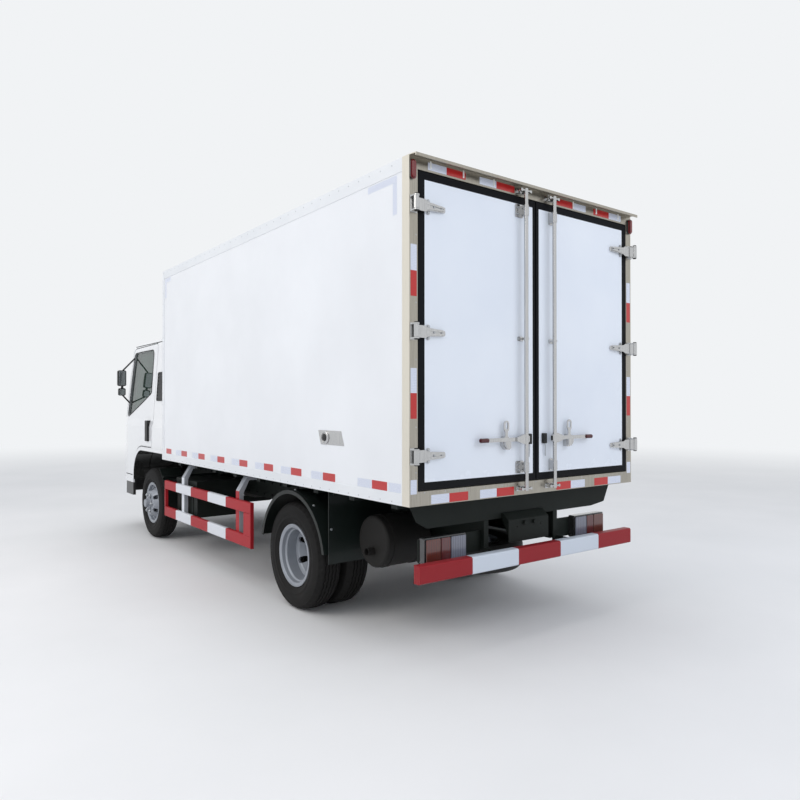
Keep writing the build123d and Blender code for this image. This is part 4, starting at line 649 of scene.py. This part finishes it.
# the hinge brackets cross the posts, and the tapes there stay on the stretches between them
postRed = ((2.094, 2.238), (1.407, 1.551))
postWhite = ((2.238, 2.385), (1.551, 1.691), (0.985, 1.066))
for name, sill, head, post, finish in (("rear_red_tapes", sillRed, headRed, postRed, redSheet),
                                       ("rear_white_tapes", sillWhite, headWhite, postWhite, whiteSheet)):
    rows = [(a, b, *sillRow) for a, b in sill] + [(a, b, *headRow) for a, b in head]
    rows += [(side * 0.987, side * 1.031, a, b) for side in (1, -1) for a, b in post]
    tapePiece(name, rows, finish, (0, 1, 0))
print("tapes made")

# Blind rivets along the aluminium edge rails, 8 mm heads
rivets = {"pitch": 0.115, "radius": 0.004, "height": 0.0018,
          "front": -1.25, "rear": 2.84, "rails": (0.932, 2.862)}
perRail = int((rivets["rear"] - rivets["front"]) / rivets["pitch"]) + 1
rivetSpots = [(rivets["front"] + i * rivets["pitch"], z) for i in range(perRail) for z in rivets["rails"]]
rivetSpots += [(-1.262, 1.02 + i * 0.117) for i in range(16)]
for name, side in sideWay.items():
    form = bmesh.new()
    axes = facing((side, 0, 0))
    for y, z in rivetSpots:
        addRivet(form, touchSide(side, 1.5, y, z, "box_edge_rails"), axes, rivets["radius"], rivets["height"])
    finishPiece("edge_rail_rivets_" + name, form, "chassis", zinc)

# Stainless screws on the rear frame, and the white clips that hold the eave from below
rearAxes = facing((0, 1, 0))
screwSpots = [(side * 0.992, z) for side in (1, -1) for z in (1.105, 1.36, 1.74, 2.06, 2.44, 2.76)]
sillPlaces = [-0.93 + i * 0.155 for i in range(13)]
screwSpots += [(x, 0.988) for x in sillPlaces if abs(abs(x) - 0.135) > 0.07]
form = bmesh.new()
for x, z in screwSpots:
    addRivet(form, touchRear(x, z, "box_rear_frame"), rearAxes, 0.0045, 0.002)
finishPiece("rear_frame_screws", form, "chassis", zinc)
form = bmesh.new()
for i in range(8):
    addPlate(form, (-0.885 + i * 0.2529, 2.9375, 2.852), rearAxes, (0.012, 0.044), 0.002, 0.004)
finishPiece("eave_clips", form, "chassis", materials["unit_white"])
print("rivets made")

# Hinge fastenings: bolts on each blade and bracket, and a black bush on each pin
hinge = {
    "heights": (1.197, 1.896, 2.608),
    "bladeBolts": ((0.908, 0.033, 0.013), (0.908, -0.033, 0.013), (0.875, 0.0, 0.012), (0.815, 0.0, 0.012)),
    "bracketBolts": (-0.022, 0.0, 0.022),
    "bracketFace": 2.95,
    "bush": ((0.0125, -0.0003), (0.0125, 0.004), (0.010, 0.006), (0.004, 0.0065)),
}
for name, side in sideWay.items():
    blades, bushes, brackets = bmesh.new(), bmesh.new(), bmesh.new()
    for z in hinge["heights"]:
        for x, dz, across in hinge["bladeBolts"]:
            place = touchRear(side * x, z + dz, "rear_door_" + name + "_hardware")
            addHexHead(blades, place, rearAxes, across, 0.005)
        for way in (1, -1):
            upright = facing((0, 0, way), up=(0, 1, 0))
            addTurned(bushes, hinge["bush"], (side * 1.025, 2.9825, z + way * 0.044), upright, 18)
        for dz in hinge["bracketBolts"]:
            place = touchRear(side * 0.992, z + dz, "box_fittings")
            if place.y < hinge["bracketFace"]:
                addHexHead(brackets, place, rearAxes, 0.012, 0.004)
    finishPiece("hinge_bolts_" + name, blades, "rear_door_" + name, zinc)
    finishPiece("hinge_bushes_" + name, bushes, "chassis", gasketRubber)
    finishPiece("hinge_bracket_bolts_" + name, brackets, "chassis", zinc)

# Guide plate bolts, and the small black locks with their hanging pins beside the middle seal
guideBolts = {"wide": (2.737, 2.694, 1.11, 1.076), "narrow": 1.904, "plateFace": 2.952}
lockBox = {"x": 0.072, "z": 1.268, "size": (0.034, 0.066), "lift": 0.02, "pin": 0.085}
guideSpots = [(x, z) for z in guideBolts["wide"] for x in (0.166, 0.184)] + [(0.166, guideBolts["narrow"])]
lockTop = lockBox["lift"]
barrel = ((0.009, lockTop - 0.001), (0.009, lockTop + 0.004), (0.006, lockTop + 0.005))
for name, side in sideWay.items():
    door = "rear_door_" + name
    form = bmesh.new()
    for x, z in guideSpots:
        place = touchRear(side * x, z, door + "_hardware")
        if place.y < guideBolts["plateFace"]:
            addHexHead(form, place, rearAxes, 0.010, 0.004)
    finishPiece("guide_bolts_" + name, form, door, zinc)
    form = bmesh.new()
    place = touchRear(side * lockBox["x"], lockBox["z"], door)
    addPlate(form, place, rearAxes, lockBox["size"], 0.005, lockTop, ease=0.003)
    addTurned(form, barrel, place, rearAxes)
    finishPiece("lock_box_" + name, form, door, gasketRubber)
    form = bmesh.new()
    pinTop = place + Vector((side * 0.004, 0.012, -0.03))
    pinPath = [pinTop, pinTop + Vector((0, 0.002, -0.02)), pinTop + Vector((0, 0.001, -0.05)),
               pinTop + Vector((side * 0.001, 0.0, -lockBox["pin"]))]
    addTube(form, pinPath, 0.0035, sides=10)
    finishPiece("lock_pin_" + name, form, door, zinc)
print("door fittings made")

# The side drain plug's black cap, with a finger ridge
form = bmesh.new()
axes = facing((1, 0, 0))
capPlace = Vector((1.0465, 2.0325, 1.27))
addTurned(form, ((0.0255, -0.0005), (0.0255, 0.001), (0.0235, 0.0022), (0.004, 0.0025)), capPlace, axes, 28)
addPlate(form, capPlace + Vector((0.002, 0, 0)), axes, (0.034, 0.008), 0.0035, 0.003)
finishPiece("vent_cap", form, "chassis", gasketRubber)

# Bolts on the chassis rails, where the line meets a rail's flat web, and on the rear fenders
railBolts = {"count": 30, "front": -2.35, "pitch": 0.172, "heights": (0.725, 0.605), "web": (0.34, 0.36)}
form = bmesh.new()
for side in (1, -1):
    for i in range(railBolts["count"]):
        for z in railBolts["heights"]:
            start = (side * 0.42, railBolts["front"] + i * railBolts["pitch"], z)
            place, normal = touch(start, (-side, 0, 0), "chassis_frame")
            if railBolts["web"][0] < abs(place.x) < railBolts["web"][1] and abs(normal.x) > 0.9:
                addHexHead(form, place, facing((side, 0, 0)), 0.019, 0.009)
finishPiece("rail_bolts", form, "chassis", blackBolt)
form = bmesh.new()
for side in (1, -1):
    for turn in (-62, -34, 0, 34, 62):
        out = Vector((0, math.sin(math.radians(turn)), math.cos(math.radians(turn))))
        centre = Vector((side * 0.98, 1.5125, axleHeight))
        place, normal = touch(centre + out * 0.7, -out, "rear_fenders")
        addHexHead(form, place, facing(out, up=(1, 0, 0)), 0.014, 0.006)
finishPiece("fender_bolts", form, "chassis", zinc)
print("chassis bolts made")

# Rubber gaskets round the windscreen, the rear window and the door windows
gasket = {"radius": 0.007, "outset": 0.009}
# two places across the opening and a corner radius, as the openings are cut
screenRows = ((-0.880, 1.345, 0.07), (-0.820, 2.110, 0.09), (0.820, 2.110, 0.09), (0.880, 1.345, 0.07))
backRows = ((-0.42, 1.62, 0.06), (-0.42, 1.95, 0.06), (0.42, 1.95, 0.06), (0.42, 1.62, 0.06))
doorRows = ((-1.9575, 1.624, 0.03), (-1.9575, 2.11, 0.06), (-2.6825, 2.107, 0.06), (-2.8075, 1.344, 0.03))


# The opening's outline grown outwards, laid on the panel that it is cut in and followed by a rubber section
def gasketPiece(name, body, rows, start, way, across, *names):
    points = softOutline(rows)
    middle = sum(points, Vector((0, 0))) / len(points)
    path = []
    for point in points:
        grown = point + (point - middle).normalized() * gasket["outset"]
        origin = list(start)
        origin[across] = grown[0]
        origin[2] = grown[1]
        try:
            place, normal = touch(origin, way, *names)
        except ValueError:
            continue
        if not path or (place - path[-1]).length >= 0.004:
            path.append(place)
    form = bmesh.new()
    addTube(form, path, gasket["radius"], sides=10, closed=True, flat=0.7, up=[-share for share in way])
    finishPiece(name, form, body, gasketRubber)


gasketPiece("windscreen_gasket", "cab", screenRows, (0, -3.4, 0), (0, 1, 0), 0, "cab_body", "cab_front")
gasketPiece("rear_window_gasket", "cab", backRows, (0, -1.0, 0), (0, -1, 0), 0, "cab_body")
for name, side in sideWay.items():
    door = "cab_door_" + name
    gasketPiece("door_window_gasket_" + name, door, doorRows, (side * 1.6, 0, 0), (-side, 0, 0), 1, door)
print("gaskets made")

# A dark drip moulding along each roof edge
for name, side in sideWay.items():
    form = bmesh.new()
    path = [touchSide(side, 1.6, -2.70 + i * 0.052, 2.196, "cab_body") for i in range(25)]
    addTube(form, path, 0.006, flat=0.8, up=(0, 0, 1))
    finishPiece("roof_drip_moulding_" + name, form, "cab", gasketRubber)

# Two pantograph wipers, parked low on the windscreen
wiper = {"pivots": (0.62, -0.10), "pivotZ": 1.322, "armLength": 0.52, "bladeLength": 0.56, "tilt": 78}
tilt = math.radians(wiper["tilt"])
hubRows = ((0.019, -0.001), (0.019, 0.008), (0.013, 0.02), (0.009, 0.022))


def onScreen(x, z, lift):
    place, normal = touch((x, -3.4, z), (0, 1, 0), "cab_front", "cab_body", "cab_glass")
    return place + Vector((0, -lift, 0))


form = bmesh.new()
for pivotX in wiper["pivots"]:
    base, normal = touch((pivotX, -3.4, wiper["pivotZ"]), (0, 1, 0), "cab_front", "cab_body")
    addTurned(form, hubRows, base, facing(normal), 18)
    arm = []
    for i in range(9):
        length = wiper["armLength"] * i / 8
        arm.append(onScreen(pivotX - math.sin(tilt) * length, wiper["pivotZ"] + math.cos(tilt) * length,
                            0.024 + 0.014 * math.sin(math.pi * i / 8)))
    addTube(form, arm, 0.006, flat=0.5, up=(0, -1, 0))
    tip = arm[-1]
    blade = []
    for i in range(13):
        length = wiper["bladeLength"] * (i / 12 - 0.5)
        blade.append(onScreen(tip.x - length * math.sin(tilt), tip.z + 0.03 + length * math.cos(tilt), 0.009))
    addTube(form, blade, 0.0075, sides=6, flat=0.6, up=(0, -1, 0))
    addTube(form, [tip, (tip + blade[6]) / 2 + Vector((0, -0.006, 0)), blade[6]], 0.006)
finishPiece("windscreen_wipers", form, "cab", materials["trim_black"])

# Side markers low on the cab's front corners: amber over a dark seat
for name, side in sideWay.items():
    spot, normal = touch((side * 1.6, -2.918, 0.72), (-side, 0, 0), "cab_body", "cab_front", "front_bumper")
    axes = facing(normal)
    form = bmesh.new()
    addPlate(form, spot, axes, (0.072, 0.056), 0.01, 0.008, ease=0.002)
    finishPiece("side_marker_seat_" + name, form, "cab", materials["trim_black"])
    form = bmesh.new()
    addPlate(form, spot + axes @ Vector((0, 0, 0.0075)), axes, (0.062, 0.046), 0.008, 0.018, ease=0.005)
    finishPiece("side_marker_lens_" + name, form, "cab", amberLens)

# Mirror glass, let into the back of each head
for name, side in sideWay.items():
    form = bmesh.new()
    for z0, z1, x0, x1 in ((1.724, 1.896, 1.040, 1.115), (1.608, 1.678, 1.044, 1.106)):
        start = (side * (x0 + x1) / 2, -2.2, (z0 + z1) / 2)
        place, normal = touch(start, (0, -1, 0), "cab_door_" + name + "_fittings")
        addPlate(form, place, rearAxes, (x1 - x0, z1 - z0), 0.014, 0.0015, ease=0.0006)
    finishPiece("mirror_glass_" + name, form, "cab_door_" + name, mirrorSilver)
print("cab trim made")

# Wire guards over the fans: rings on four spokes
guard = {"wire": 0.0022, "rings": (0.25, 0.44, 0.63, 0.82, 1.0)}
# name, the fans' two middles across, height, place along, way out, radius, finish
for name, across, z, y, out, radius, finish in (("unit", 0.3, 2.647, -1.6365, -1, 0.112, blackBolt),
                                                ("evaporator", 0.25, 2.710, -0.7815, 1, 0.069, zinc)):
    form = bmesh.new()
    for x in (across, -across):
        for share in guard["rings"]:
            ring = [(x + radius * share * s, y, z + radius * share * c) for s, c in around(36)]
            addTube(form, ring, guard["wire"], sides=6, closed=True, up=(0, 1, 0))
        middle = Vector((x, y + out * 0.003, z))
        for s, c in around(4, 0.5):
            spoke = Vector((s, 0, c))
            addTube(form, [middle + spoke * 0.01, middle + spoke * radius], guard["wire"], sides=6)
    finishPiece(name + "_fan_guards", form, "chassis", finish)
print("fan guards made")

# Seat pads: swollen with cloth pressure, then sewn in by their seams
seat = {"voxel": 0.011, "pressure": 4.0, "frames": 20, "cap": 0.012, "seamDepth": 0.006, "seamWidth": 0.008}
cushionAxes = Matrix.Identity(3)
backLean = Vector((0, 0.07, 0.56)).normalized()
backOut = Vector((1, 0, 0)).cross(backLean)
backAxes = Matrix(((1, 0, 0), backLean, backOut)).transposed()
# name, middle of the pad's back face, axes, width, length, thickness, seams along and across
padTable = (
    ("driver_cushion", (0.430, -2.045, 1.078), cushionAxes, 0.450, 0.440, 0.100, (-0.13, 0.13), (0.08,)),
    ("driver_back", (0.430, -1.676, 1.452), backAxes, 0.440, 0.540, 0.088, (-0.12, 0.12), (-0.1, 0.14)),
    ("bench_cushion", (-0.330, -2.045, 1.078), cushionAxes, 0.850, 0.440, 0.100, (-0.30, 0.0, 0.30), (0.08,)),
    ("bench_back", (-0.330, -1.676, 1.452), backAxes, 0.840, 0.540, 0.088, (-0.29, 0.0, 0.29), (-0.1, 0.14)),
)


# The mesh that a pad's modifiers make of it, before they are taken off
def meshFrom(pad):
    bpy.context.view_layer.update()
    graph = bpy.context.evaluated_depsgraph_get()
    mesh = bpy.data.meshes.new_from_object(pad.evaluated_get(graph))
    pad.modifiers.clear()
    return mesh


def seamDip(place, seams):
    return max(math.exp(-((place - seam) / seat["seamWidth"]) ** 2) for seam in seams)


for name, place, axes, width, length, thick, along, across in padTable:
    form = bmesh.new()
    addPlate(form, place, axes, (width, length), 0.055, thick, ease=thick * 0.3, sunk=0.0, steps=6)
    bmesh.ops.recalc_face_normals(form, faces=form.faces)
    mesh = bpy.data.meshes.new(name)
    form.to_mesh(mesh)
    form.free()
    pad = bpy.data.objects.new(name, mesh)
    bpy.context.scene.collection.objects.link(pad)
    remesh = pad.modifiers.new("even", "REMESH")
    remesh.mode = "VOXEL"
    remesh.voxel_size = seat["voxel"]
    even = meshFrom(pad)
    pad.data = even
    start = [v.co.copy() for v in even.vertices]
    cloth = pad.modifiers.new("swell", "CLOTH")
    cloth.settings.use_pressure = True
    cloth.settings.uniform_pressure_force = seat["pressure"]
    cloth.settings.effector_weights.gravity = 0
    cloth.point_cache.frame_start = 1
    cloth.point_cache.frame_end = seat["frames"]
    for step in range(1, seat["frames"] + 1):
        bpy.context.scene.frame_set(step)
    swollen = meshFrom(pad)
    for vertex, was, now in zip(even.vertices, start, swollen.vertices):
        shift = now.co - was
        if shift.length > seat["cap"]:
            shift = shift.normalized() * seat["cap"]
        vertex.co = was + shift
    bpy.context.scene.frame_set(1)
    divide = pad.modifiers.new("smooth", "SUBSURF")
    divide.levels = divide.render_levels = 1
    fine = meshFrom(pad)
    pad.data = fine
    toPad = axes.inverted()
    for vertex in fine.vertices:
        u, v, w = toPad @ (vertex.co - Vector(place))
        if w >= thick * 0.45:
            dip = max(seamDip(u, along), seamDip(v, across))
            vertex.co -= axes @ Vector((0, 0, seat["seamDepth"] * dip))
    fine.shade_smooth()
    fine.materials.clear()
    fine.materials.append(materials["seat_fabric"])
    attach(pad, "cab")
    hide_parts("seats")
    print("pad", name, len(fine.vertices))

# Plinths and back shells under the pads, in black moulding
form = bmesh.new()
shellAxes = Matrix(((-1, 0, 0), backLean, -backOut)).transposed()
for middle, width in ((0.430, 0.46), (-0.330, 0.86)):
    addPlate(form, (middle, -2.035, 1.0105), cushionAxes, (width, 0.45), 0.03, 0.066, ease=0.012)
    addPlate(form, (middle, -1.674, 1.450), shellAxes, (width - 0.02, 0.55), 0.04, 0.022, ease=0.008)
finishPiece("seat_shells", form, "cab", materials["trim_black"])
print("seats made")


# Where the dashboard's rear face is met, and the axes there
def onDash(x, z):
    place, normal = touch((x, -2.2, z), (0, -1, 0), "dashboard")
    return place, facing(normal)


# Dashboard fittings: hooded dials, vents, a control panel, and the gear lever with its gaiter
form = bmesh.new()
hoodSeat, normal = touch((0.43, -2.68, 1.7), (0, 0, -1), "dashboard")
addPlate(form, hoodSeat, facing((0, 0, 1), up=(0, 1, 0)), (0.36, 0.15), 0.04, 0.055, ease=0.022, steps=6)
for x in (0.78, 0.16, -0.16, -0.78):
    place, axes = onDash(x, 1.235)
    addPlate(form, place, axes, (0.12, 0.055), 0.012, 0.006, ease=0.002)
    for k in range(4):
        slat = place + axes @ Vector((0, -0.018 + k * 0.012, 0.005))
        addPlate(form, slat, axes, (0.10, 0.004), 0.0015, 0.006)
place, axes = onDash(0.0, 1.15)
addPlate(form, place, axes, (0.24, 0.085), 0.01, 0.006, ease=0.002)
for x in (-0.07, 0.0, 0.07):
    addTurned(form, ((0.018, 0.005), (0.018, 0.014), (0.014, 0.018), (0.012, 0.018)),
              place + axes @ Vector((x, 0, 0)), axes, 24)
addTurned(form, ((0.07, 0.0), (0.062, 0.012), (0.05, 0.03), (0.036, 0.05), (0.022, 0.072), (0.014, 0.085)),
          (0.08, -2.42, 1.0105), cushionAxes, 24)
leverPath = ((0.08, -2.42, 1.09), (0.08, -2.415, 1.20), (0.082, -2.39, 1.30), (0.085, -2.37, 1.36))
addTube(form, leverPath, 0.008, sides=10)
addTurned(form, ((0.012, -0.03), (0.022, -0.012), (0.026, 0.006), (0.02, 0.022), (0.008, 0.03)),
          (0.086, -2.365, 1.375), cushionAxes, 20)
finishPiece("dash_fittings", form, "cab", materials["trim_black"])
dialRows = ((0.05, 0.0), (0.05, 0.007), (0.046, 0.009), (0.044, 0.004), (0.006, 0.004), (0.005, 0.006))
form = bmesh.new()
for x in (0.36, 0.50):
    place, axes = onDash(x, 1.285)
    addTurned(form, dialRows, place, axes, 32)
finishPiece("dash_dials", form, "cab", chrome)
print("dashboard fitted")

# The studio: a pale floor that melts into the backdrop, so that no line crosses behind the truck
studio = {"backdropTone": "#f1f3f5", "domeTone": "#f3f6fb", "domeLevel": 0.75,
          "fadeStart": 6.0, "fadeEnd": 22.0}
floorMesh = bpy.data.meshes.new("floor")
floorForm = bmesh.new()
bmesh.ops.create_grid(floorForm, x_segments=8, y_segments=8, size=60)
floorForm.to_mesh(floorMesh)
floorForm.free()
floor = bpy.data.objects.new("floor", floorMesh)
bpy.context.scene.collection.objects.link(floor)
floorMaterial, tree, shader, place = newMaterial("paleConcrete")
floorTone = toned(tree, noise(tree, place, 0.6, 6.0), ((0.2, "#e4e5e6"), (0.8, "#eeeeef")))
setNode(tree, shader, {"Base Color": floorTone, "Roughness": 0.9})
melt = mapped(tree, vectors(tree, "LENGTH", place), {
    "interpolation_type": "SMOOTHSTEP", "From Min": studio["fadeStart"], "From Max": studio["fadeEnd"]})
sky = addNode(tree, "Emission", "Emission", {"Color": fromHex(studio["backdropTone"]), "Strength": 1.0})
blend = addNode(tree, "MixShader", "Shader", {0: melt, 1: shader.outputs["BSDF"], 2: sky})
setNode(tree, tree.nodes["Material Output"], {"Surface": blend})
floorMesh.materials.append(floorMaterial)

# The camera and polished pieces see a flat backdrop, and all else is lit by the dome
world = bpy.data.worlds.new("studio")
bpy.context.scene.world = world
world.use_nodes = True
tree = world.node_tree
tree.nodes.clear()
rays = addNode(tree, "LightPath", "Is Camera Ray", {}).node.outputs
seen = maths(tree, "MAXIMUM", rays["Is Camera Ray"], rays["Is Glossy Ray"])
seen = maths(tree, "MAXIMUM", seen, rays["Is Transmission Ray"])
dome = {"Color": fromHex(studio["domeTone"]), "Strength": studio["domeLevel"]}
backdrop = {"Color": fromHex(studio["backdropTone"]), "Strength": 1.0}
mix = addNode(tree, "MixShader", "Shader", {0: seen, 1: addNode(tree, "Background", "Background", dome),
                                            2: addNode(tree, "Background", "Background", backdrop)})
setNode(tree, tree.nodes.new("ShaderNodeOutputWorld"), {"Surface": mix})


def areaLight(name, place, target, size, power, tone="#ffffff"):
    light = bpy.data.lights.new(name, "AREA")
    light.shape = "RECTANGLE"
    light.size, light.size_y = size
    light.energy = power
    light.color = fromHex(tone)[:3]
    lamp = bpy.data.objects.new(name, light)
    lamp.location = place
    lamp.rotation_mode = "QUATERNION"
    lamp.rotation_quaternion = (Vector(target) - Vector(place)).to_track_quat("-Z", "Y")
    bpy.context.scene.collection.objects.link(lamp)
    return lamp


areaLight("keyLight", (7.5, 1.0, 7.0), (0.0, 0.0, 1.2), (6, 6), 260, "#fffaf4")
# the lamp behind the truck leaves no glare on the polished hinges
areaLight("backLight", (-3.0, 9.0, 6.0), (0.0, 1.0, 1.2), (6, 4), 170, "#f2f6ff").visible_glossy = False
areaLight("topLight", (0.0, -1.0, 9.0), (0.0, 0.0, 0.0), (8, 10), 150)

view = {"place": (3.3596, 5.9129, 1.4832), "yaw": -37.16, "pitch": 0.44, "lens": 30.56}
cameraData = bpy.data.cameras.new("camera")
cameraData.lens = view["lens"]
cameraData.clip_start = 0.05
cameraData.clip_end = 500
camera = bpy.data.objects.new("camera", cameraData)
yaw = math.radians(view["yaw"])
pitch = math.radians(view["pitch"])
look = Vector((math.sin(yaw) * math.cos(pitch), -math.cos(yaw) * math.cos(pitch), math.sin(pitch)))
camera.location = view["place"]
camera.rotation_mode = "QUATERNION"
camera.rotation_quaternion = look.to_track_quat("-Z", "Y")
bpy.context.scene.collection.objects.link(camera)
bpy.context.scene.camera = camera
bpy.context.scene.view_settings.view_transform = "Standard"
